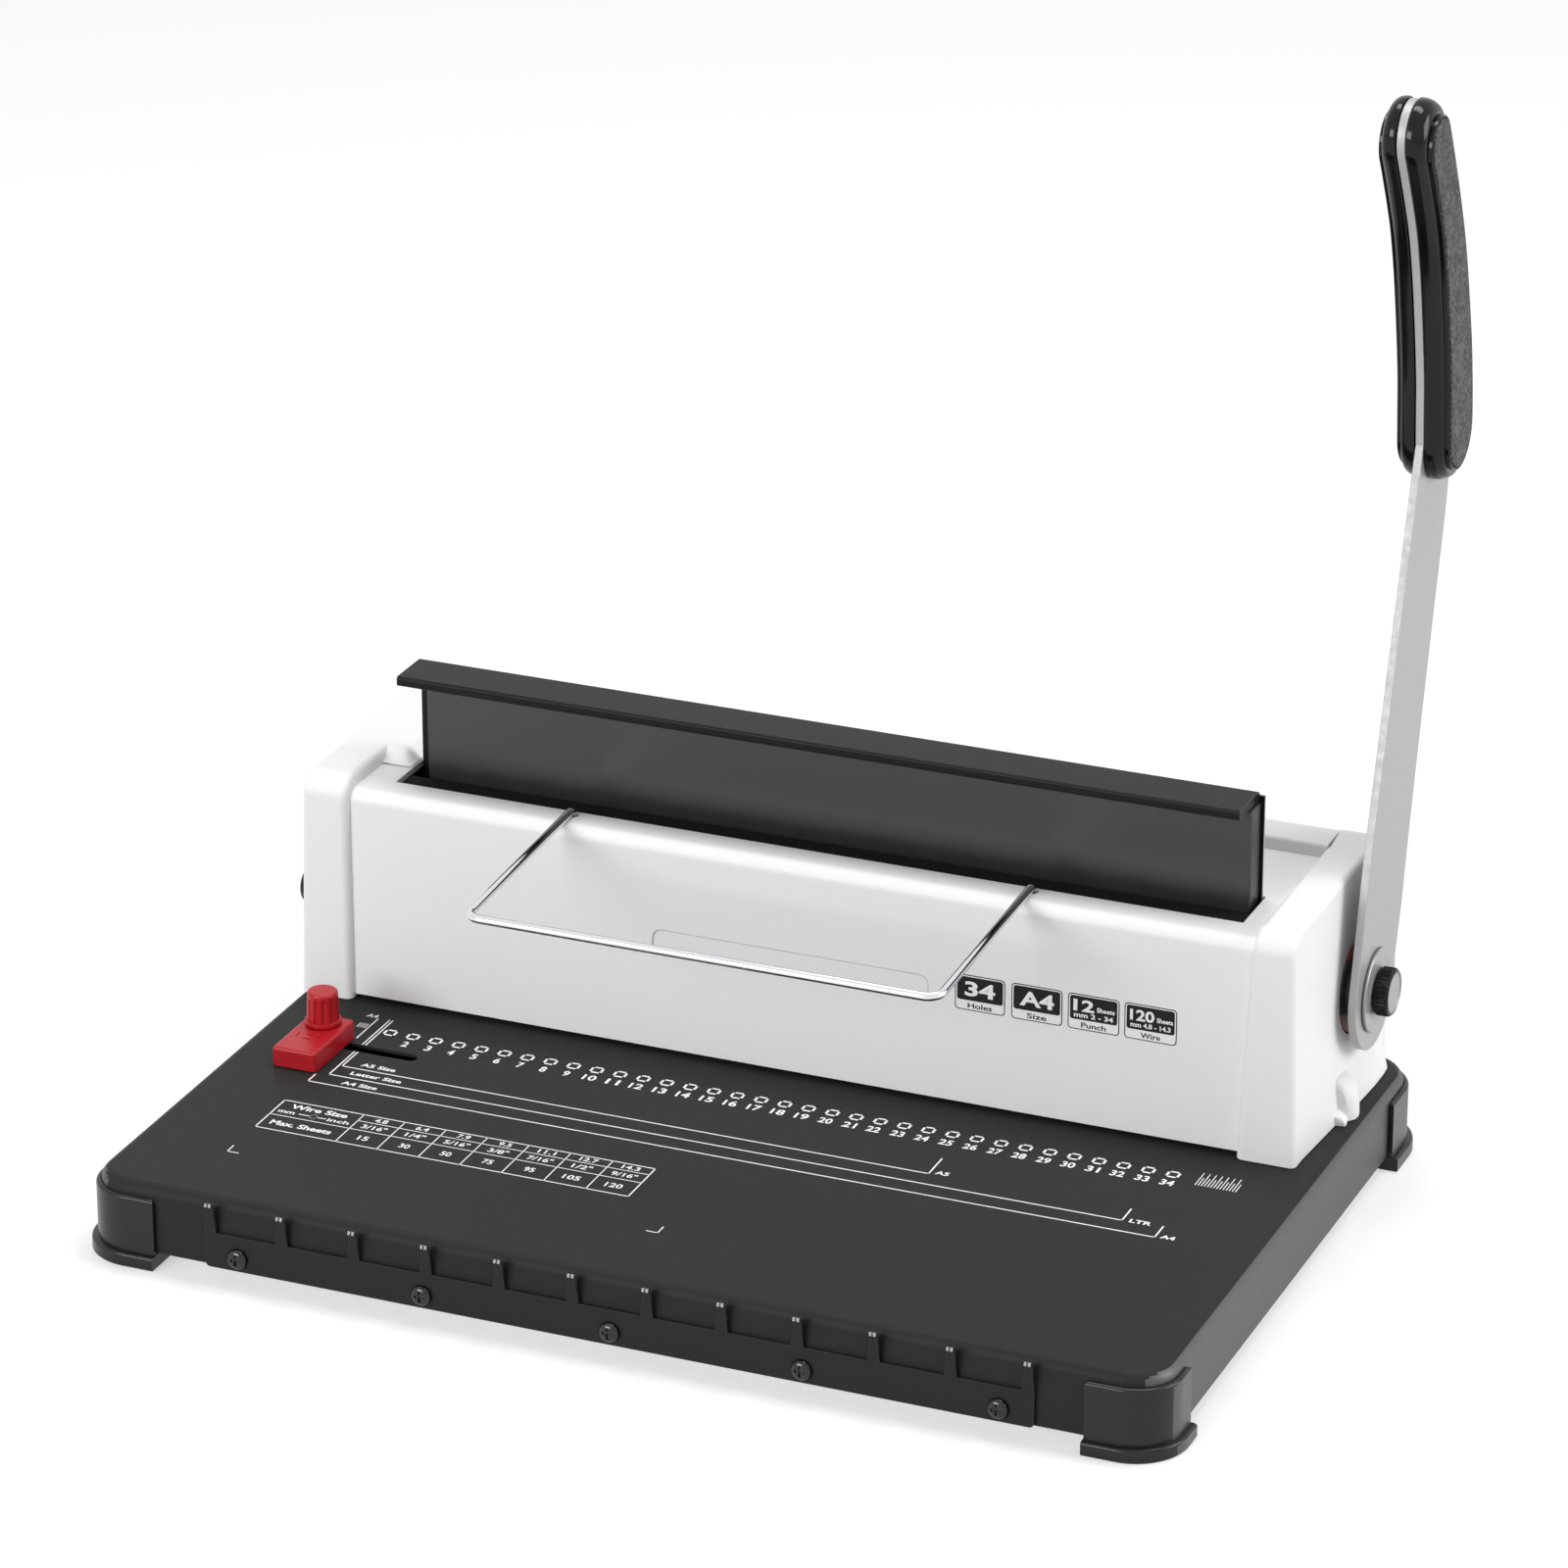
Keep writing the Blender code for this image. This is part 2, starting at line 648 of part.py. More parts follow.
def make_deck():
    low = (-DECK_LEFT, -DECK_FRONT, -DECK_SKIRT)
    high = (DECK_RIGHT, DECK_REAR, 0)
    builder = box_bmesh(low, high)
    upright = runs_along(2)
    bmesh.ops.bevel(builder, geom=[edge for edge in builder.edges if upright(edge)],
                    offset=DECK_CORNER_RADIUS, segments=ARC_STEPS, affect="EDGES", profile=0.5)
    rim = [edge for edge in builder.edges if all(abs(vert.co.z) < SNAP for vert in edge.verts)]
    bmesh.ops.bevel(builder, geom=rim, offset=DECK_EDGE_RADIUS, segments=3,
                    affect="EDGES", profile=0.5)
    floor = [face for face in builder.faces if face.calc_center_median().z < -DECK_SKIRT + SNAP]
    bmesh.ops.delete(builder, geom=floor, context="FACES")
    deck = add_part("deck", mesh_from("deck", builder), "deck_black", smooth=35)
    solidify = deck.modifiers.new("sheet", "SOLIDIFY")
    solidify.thickness = DECK_SHEET
    solidify.offset = -1
    solidify.use_even_offset = True

    window_low = (-FRAME_LEFT, STRIPPER_FRONT - SEAT_GAP, -OVERRUN)
    window_high = (FRAME_RIGHT, DIE_REAR + SEAT_GAP, OVERRUN)
    cut(deck, add_cutter("die_window", box_mesh("die_window", window_low, window_high)))
    half = GUIDE_SLOT_HALF_WIDTH
    slot_left = AXES["guide"][0] - GUIDE_TRAVEL_LEFT - half
    slot_right = AXES["guide"][0] + GUIDE_TRAVEL_RIGHT + half
    slot = rounded_rectangle((slot_left, -GUIDE_SLOT_Y - half),
                             (slot_right, -GUIDE_SLOT_Y + half), half * 0.98)
    cut(deck, add_cutter("guide_slot", plate_mesh("guide_slot", [slot], "Z", -OVERRUN, 2 * OVERRUN)))
    mouth_low = (-TRAY_LEFT - RUNNING_GAP, DECK_REAR - OVERRUN, -DECK_SKIRT - OVERRUN)
    mouth_high = (TRAY_RIGHT + RUNNING_GAP, DECK_REAR + OVERRUN, -TRAY_TOP + RUNNING_GAP)
    cut(deck, add_cutter("tray_mouth", box_mesh("tray_mouth", mouth_low, mouth_high)))
    for index, place in enumerate(screw_places(), 1):
        cut(deck, rod_cutter(f"skirt_hole_{index}", SCREW_SHANK_RADIUS + SEAT_GAP,
                             -DECK_FRONT - OVERRUN, -DECK_FRONT + OVERRUN, "Y", place, ROD_STEPS))


def make_floor_plate():
    inset = DECK_SHEET + SEAT_GAP
    outline = rounded_rectangle((-DECK_LEFT + inset, -DECK_FRONT + inset),
                                (DECK_RIGHT - inset, DECK_REAR - inset),
                                DECK_CORNER_RADIUS - inset)
    mesh = plate_mesh("floor_plate", [outline], "Z", -DECK_SKIRT + SEAT_GAP, FLOOR_PLATE_THICKNESS)
    add_part("floor_plate", mesh, "zinc")


def corner_outline(out, reach, side_reach, radius):
    """A block at a deck corner, measured outwards from it, with the outer corner rounded."""
    points = [(-reach, -side_reach), (out, -side_reach)]
    points += arc((out - radius, out - radius), radius, 0, 90, ARC_STEPS)
    return points + [(-reach, out)]


def make_foot(name, corner_x, corner_y, side_x, side_y):
    """A moulded cap round one deck corner; side_x and side_y point out of the deck."""
    side_reach = FOOT_BACK_SIDE_REACH if side_y > 0 else FOOT_FRONT_SIDE_REACH

    def at_corner(points):
        return [(corner_x + side_x * a, corner_y + side_y * b) for a, b in points]

    floor = -DECK_SKIRT - FOOT_PAD
    radius = DECK_CORNER_RADIUS + FOOT_WALL
    levels = [(FOOT_TOE, floor), (FOOT_TOE, floor + FOOT_TOE_HEIGHT - FOOT_ROUNDING)]
    levels += [(FOOT_TOE - FOOT_ROUNDING * (1 - math.cos(angle)),
                floor + FOOT_TOE_HEIGHT - FOOT_ROUNDING * (1 - math.sin(angle)))
               for angle in (math.pi / 4, math.pi / 2)]
    levels += [(0, floor + FOOT_TOE_HEIGHT), (0, -FOOT_TOP_DROP - FOOT_ROUNDING)]
    levels += [(-FOOT_ROUNDING * (1 - math.cos(angle)),
                -FOOT_TOP_DROP - FOOT_ROUNDING * (1 - math.sin(angle)))
               for angle in (math.pi / 4, math.pi / 2)]
    builder = bmesh.new()
    rings = []
    for out, height in levels:
        end = out / 8
        ring = at_corner(corner_outline(FOOT_WALL + out, FOOT_REACH + end, side_reach + end,
                                        radius + out))
        rings.append([builder.verts.new((x, y, height)) for x, y in ring])
    loft(builder, rings)
    foot = add_part(name, mesh_from(name, builder), "foot_black", smooth=35)
    pocket = at_corner(corner_outline(SEAT_GAP, FOOT_REACH + OVERRUN, side_reach + OVERRUN,
                                      DECK_CORNER_RADIUS + SEAT_GAP))
    pocket_low = -DECK_SKIRT - SEAT_GAP
    mesh = plate_mesh(name + "_pocket", [pocket], "Z", pocket_low, OVERRUN - pocket_low)
    cut(foot, add_cutter(name + "_pocket", mesh))


# Hook strip

def hook_left(index):
    return index * HOOK_EVERY * HOLE_PITCH - STRIP_INSET


def screw_places():
    height = -STRIP_TOP - SCREW_BELOW_STRIP_TOP
    return [(SCREW_FIRST + index * SCREW_PITCH, height) for index in range(SCREW_COUNT)]


def make_hook_strip():
    """An open sheet of faces, a prong over each hook station, thickened outwards."""
    front = -DECK_FRONT - SEAT_GAP
    top = -STRIP_TOP
    bottom = top - STRIP_HEIGHT
    builder = bmesh.new()
    stations = []
    for index in range(HOOK_COUNT):
        stations += [hook_left(index), hook_left(index) + HOOK_WIDTH]
    low_row = [builder.verts.new((x, front, bottom)) for x in stations]
    high_row = [builder.verts.new((x, front, top)) for x in stations]
    for index in range(len(stations) - 1):
        builder.faces.new((low_row[index], low_row[index + 1],
                           high_row[index + 1], high_row[index]))
    narrowing = HOOK_WIDTH - HOOK_TIP_WIDTH
    for index in range(HOOK_COUNT):
        left, right = high_row[2 * index], high_row[2 * index + 1]
        bends = (
            (narrowing, HOOK_LEAN, HOOK_RISE),
            (narrowing, HOOK_LEAN + HOOK_TIP_LENGTH, HOOK_RISE + HOOK_TIP_RISE),
        )
        for inward, lean, rise in bends:
            next_left = builder.verts.new((hook_left(index) + inward, front - lean, top + rise))
            next_right = builder.verts.new((hook_left(index) + HOOK_WIDTH, front - lean,
                                            top + rise))
            builder.faces.new((left, right, next_right, next_left))
            left, right = next_left, next_right
    strip = add_part("hook_strip", mesh_from("hook_strip", builder), "deck_black")
    solidify = strip.modifiers.new("sheet", "SOLIDIFY")
    solidify.thickness = STRIP_SHEET
    solidify.offset = 1
    solidify.use_even_offset = True
    for index, place in enumerate(screw_places(), 1):
        cut(strip, rod_cutter(f"strip_hole_{index}", SCREW_SHANK_RADIUS + SEAT_GAP,
                              front - OVERRUN, front + OVERRUN, "Y", place, ROD_STEPS))


def make_strip_screws():
    seat = -DECK_FRONT - 2 * SEAT_GAP - STRIP_SHEET
    for index, (x, z) in enumerate(screw_places(), 1):
        name = f"strip_screw_{index}"
        head = SCREW_HEAD_HEIGHT
        profile = [(0, head), (SCREW_HEAD_RADIUS * 0.7, head * 0.9),
                   (SCREW_HEAD_RADIUS, head * 0.3), (SCREW_HEAD_RADIUS, 0),
                   (SCREW_SHANK_RADIUS, 0), (SCREW_SHANK_RADIUS, -SCREW_SHANK_LENGTH),
                   (0, -SCREW_SHANK_LENGTH)]
        screw = turned_part(name, profile, "Z", (0, 0, 0), "deck_black", steps=ROD_STEPS)
        screw.matrix_basis = (Matrix.Translation((x, seat, z))
                              @ Matrix.Rotation(math.radians(90), 4, "X"))
        depth = (seat - head - OVERRUN, seat - head + SCREW_CROSS_DEPTH)
        for arm, (wide, tall) in enumerate(((SCREW_CROSS_LENGTH, SCREW_CROSS_WIDTH),
                                            (SCREW_CROSS_WIDTH, SCREW_CROSS_LENGTH))):
            low = (x - wide / 2, depth[0], z - tall / 2)
            high = (x + wide / 2, depth[1], z + tall / 2)
            arm_name = f"{name}_cross_{arm}"
            cut(screw, add_cutter(arm_name, box_mesh(arm_name, low, high)))


# Housing

def seam_right(height):
    share = height / COVER_HEIGHT
    return SEAM_RIGHT_BOTTOM + (SEAM_RIGHT_TOP - SEAM_RIGHT_BOTTOM) * share


def make_centre_cover():
    """Front panel, top with the slot and rear wall in one moulding, with ends cut to the seams."""
    wall = COVER_WALL
    top, radius = PANEL_TOP, PANEL_RADIUS
    rim_inner = COVER_REAR - REAR_RIM
    rear = COVER_REAR - SEAT_GAP
    rim_top = COVER_HEIGHT - SEAT_GAP
    outer = [(PANEL_FRONT, PANEL_LIFT)]
    outer += arc((PANEL_FRONT + radius, top - radius), radius, 180, 90, ARC_STEPS)
    outer += [(rim_inner - RIM_DRAFT, top), (rim_inner, rim_top)]
    outer += arc((rear - COVER_RADIUS, rim_top - COVER_RADIUS), COVER_RADIUS, 90, 0, ARC_STEPS)
    outer += [(rear, SEAT_GAP)]
    inner = [(rear - wall, SEAT_GAP)]
    inner += arc((rear - COVER_RADIUS, rim_top - COVER_RADIUS), COVER_RADIUS - wall, 0, 90,
                 ARC_STEPS)
    inner += [(rim_inner + wall, rim_top - wall), (rim_inner + wall - RIM_DRAFT, top - wall)]
    inner += arc((PANEL_FRONT + radius, top - radius), radius - wall, 90, 180, ARC_STEPS)
    inner += [(PANEL_FRONT + wall, PANEL_LIFT)]
    left = -SEAM_LEFT + SEAT_GAP
    right = SEAM_RIGHT_TOP
    mesh = plate_mesh("centre_cover", [outer + inner], "X", left, right - left)
    for vertex in mesh.vertices:
        if vertex.co.x > ROW_MIDDLE:
            vertex.co.x = seam_right(vertex.co.z) - SEAT_GAP
    cover = add_part("centre_cover", mesh, "housing_white", smooth=35)
    slot_low = (-SLOT_LEFT - SEAT_GAP, SLOT_FRONT, top - OVERRUN)
    slot_high = (SLOT_RIGHT, SLOT_REAR, top + OVERRUN)
    cut(cover, add_cutter("wire_slot", box_mesh("wire_slot", slot_low, slot_high)))
    inset = rounded_rectangle((INSET_LEFT, INSET_BOTTOM),
                              (INSET_LEFT + INSET_LENGTH, INSET_BOTTOM + INSET_HEIGHT),
                              INSET_HEIGHT / 3)
    inset_mesh = plate_mesh("panel_inset", [inset], "Y", PANEL_FRONT - OVERRUN,
                            OVERRUN + INSET_DEPTH)
    cut(cover, add_cutter("panel_inset", inset_mesh))
    for side, x in (("left", BAIL_LEFT), ("right", BAIL_RIGHT)):
        cut(cover, rod_cutter(f"bail_hole_{side}", BAIL_RADIUS + RUNNING_GAP, top - OVERRUN,
                              top + OVERRUN, "Z", (x, BAIL_FOOT_Y), ROD_STEPS))


def tapered_cover(name, inner_bottom, inner_top, outer_bottom, outer_top, shrink, extra):
    """A cover's solid block, its walls moved in by shrink and its inner side out by extra."""
    toward_outer = 1 if outer_bottom > inner_bottom else -1
    low = (0, COVER_FRONT + shrink, SEAT_GAP - (OVERRUN if shrink else 0))
    high = (1, COVER_REAR - shrink, COVER_HEIGHT - shrink)
    builder = box_bmesh(low, high)
    for vert in builder.verts:
        share = vert.co.z / COVER_HEIGHT
        inner = inner_bottom + (inner_top - inner_bottom) * share - toward_outer * extra
        outer = outer_bottom + (outer_top - outer_bottom) * share - toward_outer * shrink
        vert.co.x = outer if (vert.co.x > 0.5) == (toward_outer > 0) else inner
    builder.normal_update()
    bmesh.ops.recalc_face_normals(builder, faces=builder.faces)
    outer_radius = max(COVER_RADIUS - shrink, COVER_WALL)

    def top_along_x(edge):
        return runs_along(0)(edge) and min(vert.co.z for vert in edge.verts) > COVER_FRONT

    bmesh.ops.bevel(builder, geom=[edge for edge in builder.edges if top_along_x(edge)],
                    offset=outer_radius, segments=ARC_STEPS, affect="EDGES", profile=0.5)
    if not shrink:
        middle = (inner_bottom + outer_bottom) / 2
        floor = SEAT_GAP + SNAP

        def outer_rim(edge):
            on_side = all((vert.co.x - middle) * toward_outer > 0 for vert in edge.verts)
            above = any(vert.co.z > floor for vert in edge.verts)
            flat = all(vert.co.z < floor for vert in edge.verts)
            return on_side and above and not flat

        bmesh.ops.bevel(builder, geom=[edge for edge in builder.edges if outer_rim(edge)],
                        offset=COVER_SIDE_RADIUS, segments=3, affect="EDGES", profile=0.5)
    return mesh_from(name, builder)


def make_side_cover(name, inner_bottom, inner_top, outer_bottom, outer_top):
    toward = 1 if outer_bottom > inner_bottom else -1
    faces = (inner_bottom, inner_top, outer_bottom, outer_top)
    cover = add_part(name, tapered_cover(name, *faces, 0, 0), "housing_white", smooth=35)
    bump_low = COVER_FRONT + BOSS_FROM_FRONT - BOSS_WIDTH / 2
    bump_mesh = box_mesh(name + "_boss",
                         (min(outer_bottom - toward * COVER_WALL, outer_bottom + toward * BOSS_PROUD),
                          bump_low, SEAT_GAP),
                         (max(outer_bottom - toward * COVER_WALL, outer_bottom + toward * BOSS_PROUD),
                          bump_low + BOSS_WIDTH, BOSS_HEIGHT),
                         BOSS_PROUD * 0.9, 3,
                         lambda edge: boss_outer_edge(edge, outer_bottom, toward))
    fuse(cover, add_cutter(name + "_boss", bump_mesh))
    fuse(cover, add_cutter(name + "_flare", flare_mesh(name + "_flare", outer_bottom, outer_top)))
    hollow = tapered_cover(name + "_hollow", *faces, COVER_WALL, -COVER_WALL)
    cut(cover, add_cutter(name + "_hollow", hollow))
    window_ends = sorted((inner_bottom - toward * 2 * OVERRUN, inner_bottom + toward * 2 * OVERRUN))
    window = box_mesh(name + "_window",
                      (window_ends[0], COVER_FRONT + COVER_FLANGE, -OVERRUN),
                      (window_ends[1], COVER_REAR - COVER_FLANGE,
                       COVER_HEIGHT - COVER_RADIUS))
    cut(cover, add_cutter(name + "_window", window))
    return cover


def flare_mesh(name, outer_bottom, outer_top):
    """A wedge at the cover's foot that grows out of its side towards the rear."""
    toward = 1 if outer_bottom > 0 else -1
    inside = outer_bottom - toward * COVER_WALL * 0.6
    low, high = SEAT_GAP, FLARE_HEIGHT
    side_high = outer_bottom + (outer_top - outer_bottom) * high / COVER_HEIGHT
    front, rear = COVER_FRONT + COVER_SIDE_RADIUS, COVER_REAR - FLARE_REAR_GAP
    sections = []
    for y, proud in ((front, -SEAT_GAP), (rear - FLARE_REAR_GAP, FLARE_PROUD), (rear, FLARE_PROUD / 2)):
        sections.append([(inside, y, low), (outer_bottom + toward * proud, y, low),
                         (side_high - toward * SEAT_GAP, y, high), (inside, y, high)])
    builder = bmesh.new()
    loft(builder, [[builder.verts.new(point) for point in section] for section in sections])
    return mesh_from(name, builder)


def boss_outer_edge(edge, face, toward):
    """The boss's edges that stand proud of the cover's side."""
    proud = all((vert.co.x - face) * toward > 0 for vert in edge.verts)
    flat = all(vert.co.z < SEAT_GAP + SNAP for vert in edge.verts)
    return proud and not flat


def make_side_covers():
    right = make_side_cover("right_cover", SEAM_RIGHT_BOTTOM, SEAM_RIGHT_TOP,
                            COVER_RIGHT, COVER_RIGHT - COVER_DRAFT)
    hub_hole = rod_cutter("hub_hole", HUB_DISC_RADIUS + HUB_HOLE_CLEARANCE,
                          HUB_DISC_FACE - 2 * OVERRUN, COVER_RIGHT + OVERRUN, "X",
                          (HUB_Y, HUB_Z), FINE_STEPS)
    cut(right, hub_hole)
    left = make_side_cover("left_cover", -SEAM_LEFT, -SEAM_LEFT,
                           -COVER_LEFT, -COVER_LEFT + COVER_DRAFT)
    knob_hole = rod_cutter("knob_hole", SIZE_SPINDLE_RADIUS + RUNNING_GAP,
                           -COVER_LEFT - OVERRUN, -COVER_LEFT + 2 * OVERRUN, "X",
                           (SIZE_KNOB_Y, SIZE_KNOB_Z), ROUND_STEPS)
    cut(left, knob_hole)
    shoulder = box_mesh("left_shoulder",
                        (-SEAM_LEFT - COVER_WALL / 2, SHOULDER_FRONT, PANEL_TOP + SEAT_GAP),
                        (-SLOT_LEFT - SEAT_GAP, COVER_REAR - REAR_RIM - RIM_DRAFT - SEAT_GAP,
                         COVER_HEIGHT - SNAP),
                        SHOULDER_ROUNDING, 2, shoulder_rim)
    fuse(left, add_cutter("left_shoulder", shoulder))


def shoulder_rim(edge):
    """The shoulder's top edges at its free ends."""
    above = all(vert.co.z > COVER_HEIGHT - PANEL_DROP / 2 for vert in edge.verts)
    return above and any(vert.co.x > -SEAM_LEFT for vert in edge.verts) and not runs_along(0)(edge)


# Wire closer and anvil

def make_closer():
    tab_left = -FRAME_LEFT - FRAME_THICKNESS - SEAT_GAP
    tab_right = FRAME_RIGHT + FRAME_THICKNESS + SEAT_GAP
    left, right = -CLOSER_LEFT, CLOSER_RIGHT
    tab_top = TAB_BOTTOM + TAB_HEIGHT
    top = CLOSER_TOP - CLOSER_FLANGE_THICKNESS / 2
    outline = [(tab_left, TAB_BOTTOM), (left + TAB_INNER_WIDTH, TAB_BOTTOM),
               (left + TAB_INNER_WIDTH, CLOSER_BOTTOM), (right - TAB_INNER_WIDTH, CLOSER_BOTTOM),
               (right - TAB_INNER_WIDTH, TAB_BOTTOM), (tab_right, TAB_BOTTOM),
               (tab_right, tab_top), (right, tab_top), (right, top), (left, top),
               (left, tab_top), (tab_left, tab_top)]
    plate = plate_mesh("closer_plate", [outline], "Y", CLOSER_WEB_FRONT, CLOSER_SHEET)
    closer = add_part("closer_plate", plate, "closer_black", "closer", smooth=35)
    flange_bottom = CLOSER_TOP - CLOSER_FLANGE_THICKNESS
    bend = CLOSER_BEND_RADIUS
    section = [(CLOSER_REAR, flange_bottom)]
    section += arc((CLOSER_REAR - bend, CLOSER_TOP - bend), bend, 0, 90, ARC_STEPS)
    nose = CLOSER_FLANGE_RADIUS
    section += arc((CLOSER_FLANGE_FRONT + nose, CLOSER_TOP - nose), nose, 90, 180, 3)
    section += [(CLOSER_FLANGE_FRONT, flange_bottom)]
    flange = plate_mesh("closer_flange", [section], "X", left,
                        right - CLOSER_FLANGE_SHORT - left)
    fuse(closer, add_cutter("closer_flange", flange))

    block = box_mesh("closer_block",
                     (left + BLOCK_LEFT_INSET, CLOSER_WEB_FRONT - SEAT_GAP - BLOCK_DEPTH,
                      CLOSER_BOTTOM),
                     (right - BLOCK_RIGHT_INSET, CLOSER_WEB_FRONT - SEAT_GAP,
                      flange_bottom - SEAT_GAP))
    add_part("closer_block", block, "closer_black", "closer")


def anvil_span():
    front = SLOT_FRONT + SEAT_GAP
    return front, front + ANVIL_DEPTH


def make_anvil():
    front, rear = anvil_span()
    left, right = -FRAME_LEFT + SEAT_GAP, FRAME_RIGHT - SEAT_GAP
    bar = box_mesh("anvil_bar", (left, front, ANVIL_BOTTOM), (right, rear, ANVIL_TOP))
    add_part("anvil_bar", bar, "closer_black")
    pad = box_mesh("anvil_pad", (-SLOT_LEFT + SEAT_GAP, front, ANVIL_TOP + SEAT_GAP),
                   (SLOT_RIGHT - SEAT_GAP, rear, ANVIL_TOP + SEAT_GAP + ANVIL_PAD))
    add_part("anvil_pad", pad, "felt_black")


# Frames

def make_frames():
    chamfer = FRAME_CHAMFER
    outline = [(FRAME_FRONT, SEAT_GAP), (FRAME_REAR, SEAT_GAP),
               (FRAME_REAR, FRAME_HEIGHT - chamfer), (FRAME_REAR - chamfer, FRAME_HEIGHT),
               (FRAME_FRONT, FRAME_HEIGHT)]
    travel = math.radians(LEVER_STROKE) * CLOSER_GEAR_RADIUS
    slot = rectangle((CLOSER_WEB_FRONT - RUNNING_GAP, TAB_BOTTOM - travel - RUNNING_GAP),
                     (CLOSER_REAR + RUNNING_GAP, TAB_BOTTOM + TAB_HEIGHT + RUNNING_GAP))
    bearing = circle((HUB_Y, HUB_Z), SHAFT_RADIUS + SEAT_GAP + BUSH_WALL + SEAT_GAP, ROUND_STEPS)
    spindle = circle((SIZE_KNOB_Y, SIZE_KNOB_Z), SIZE_SPINDLE_RADIUS + RUNNING_GAP, ROD_STEPS)
    mesh = plate_mesh("left_frame", [outline, slot, bearing, spindle], "X",
                      -FRAME_LEFT - FRAME_THICKNESS, FRAME_THICKNESS)
    add_part("left_frame", mesh, "zinc")
    mesh = plate_mesh("right_frame", [outline, slot, bearing], "X", FRAME_RIGHT, FRAME_THICKNESS)
    add_part("right_frame", mesh, "zinc")
    left = -FRAME_LEFT + SEAT_GAP
    length = FRAME_RIGHT - SEAT_GAP - left
    for name, height in (("tie_rod_lower", TIE_ROD_LOW), ("tie_rod_upper", TIE_ROD_HIGH)):
        rod(name, TIE_ROD_RADIUS, length, "X", (left, TIE_ROD_BACK, height), "zinc")
    for side, start in (("left", -FRAME_LEFT - FRAME_THICKNESS - BUSH_OVERHANG),
                        ("right", FRAME_RIGHT - BUSH_OVERHANG)):
        tube(f"shaft_bush_{side}", SHAFT_RADIUS + SEAT_GAP + BUSH_WALL, SHAFT_RADIUS + SEAT_GAP,
             FRAME_THICKNESS + 2 * BUSH_OVERHANG, "X", (start, HUB_Y, HUB_Z), "zinc")


# Punch and die

def hole_outlines(side):
    outlines = []
    for index in range(HOLE_COUNT):
        x = index * HOLE_PITCH
        outlines.append(rectangle((x - side / 2, PUNCH_ROW - side / 2),
                                  (x + side / 2, PUNCH_ROW + side / 2)))
    return outlines


def guide_rod_places():
    return -GUIDE_ROD_FROM_ROW, ROW_LENGTH + GUIDE_ROD_FROM_ROW


def make_die_set():
    left, right = -FRAME_LEFT + SEAT_GAP, FRAME_RIGHT - SEAT_GAP
    holes = hole_outlines(PIN_SIDE + 2 * PIN_CLEARANCE)
    outline = rectangle((left, STRIPPER_FRONT), (right, DIE_REAR))
    die = plate_mesh("die_plate", [outline] + holes, "Z", -DIE_SEAT - DIE_HEIGHT, DIE_HEIGHT)
    add_part("die_plate", die, "zinc")
    stripper = plate_mesh("stripper_plate", [outline] + holes, "Z", THROAT, STRIPPER_HEIGHT)
    add_part("stripper_plate", stripper, "zinc")
    stop = box_mesh("paper_stop", (left, PUNCH_ROW + EDGE_MARGIN, 0),
                    (right, DIE_REAR - SEAT_GAP, THROAT - SEAT_GAP))
    add_part("paper_stop", stop, "zinc")
    rod_bottom = THROAT + STRIPPER_HEIGHT + SEAT_GAP
    for side, x in zip(("left", "right"), guide_rod_places()):
        rod(f"punch_guide_{side}", GUIDE_ROD_RADIUS, ANVIL_BOTTOM - SEAT_GAP - rod_bottom, "Z",
            (x, PUNCH_ROW, rod_bottom), "zinc", steps=ROUND_STEPS)


def make_punch():
    """The beam that carries the comb of square pins, on two guide rods."""
    strip_top = PIN_STRIP_BOTTOM + PIN_STRIP_HEIGHT
    comb = box_mesh("pin_comb",
                    (-PIN_END_MARGIN, PUNCH_ROW - PIN_STRIP_DEPTH / 2, PIN_STRIP_BOTTOM),
                    (ROW_LENGTH + PIN_END_MARGIN, PUNCH_ROW + PIN_STRIP_DEPTH / 2, strip_top))
    comb = add_part("pin_comb", comb, "zinc", "punch")
    builder = bmesh.new()
    for index in range(HOLE_COUNT):
        x = index * HOLE_PITCH
        pin = box_bmesh((x - PIN_SIDE / 2, PUNCH_ROW - PIN_SIDE / 2, PIN_TIP),
                        (x + PIN_SIDE / 2, PUNCH_ROW + PIN_SIDE / 2,
                         PIN_STRIP_BOTTOM + PIN_STRIP_HEIGHT / 2))
        pin_mesh = mesh_from("pin", pin)
        builder.from_mesh(pin_mesh)
        bpy.data.meshes.remove(pin_mesh)
    fuse(comb, add_cutter("punch_pins", mesh_from("punch_pins", builder)))

    beam_bottom = strip_top + SEAT_GAP
    beam = rectangle((-FRAME_LEFT + BEAM_END_GAP, PUNCH_ROW - BEAM_DEPTH / 2),
                     (FRAME_RIGHT - BEAM_END_GAP, PUNCH_ROW + BEAM_DEPTH / 2))
    bores = [circle((x, PUNCH_ROW), GUIDE_ROD_RADIUS + SEAT_GAP, ROUND_STEPS)
             for x in guide_rod_places()]
    mesh = plate_mesh("punch_beam", [beam] + bores, "Z", beam_bottom, BEAM_HEIGHT)
    add_part("punch_beam", mesh, "zinc", "punch")


# Gears and racks

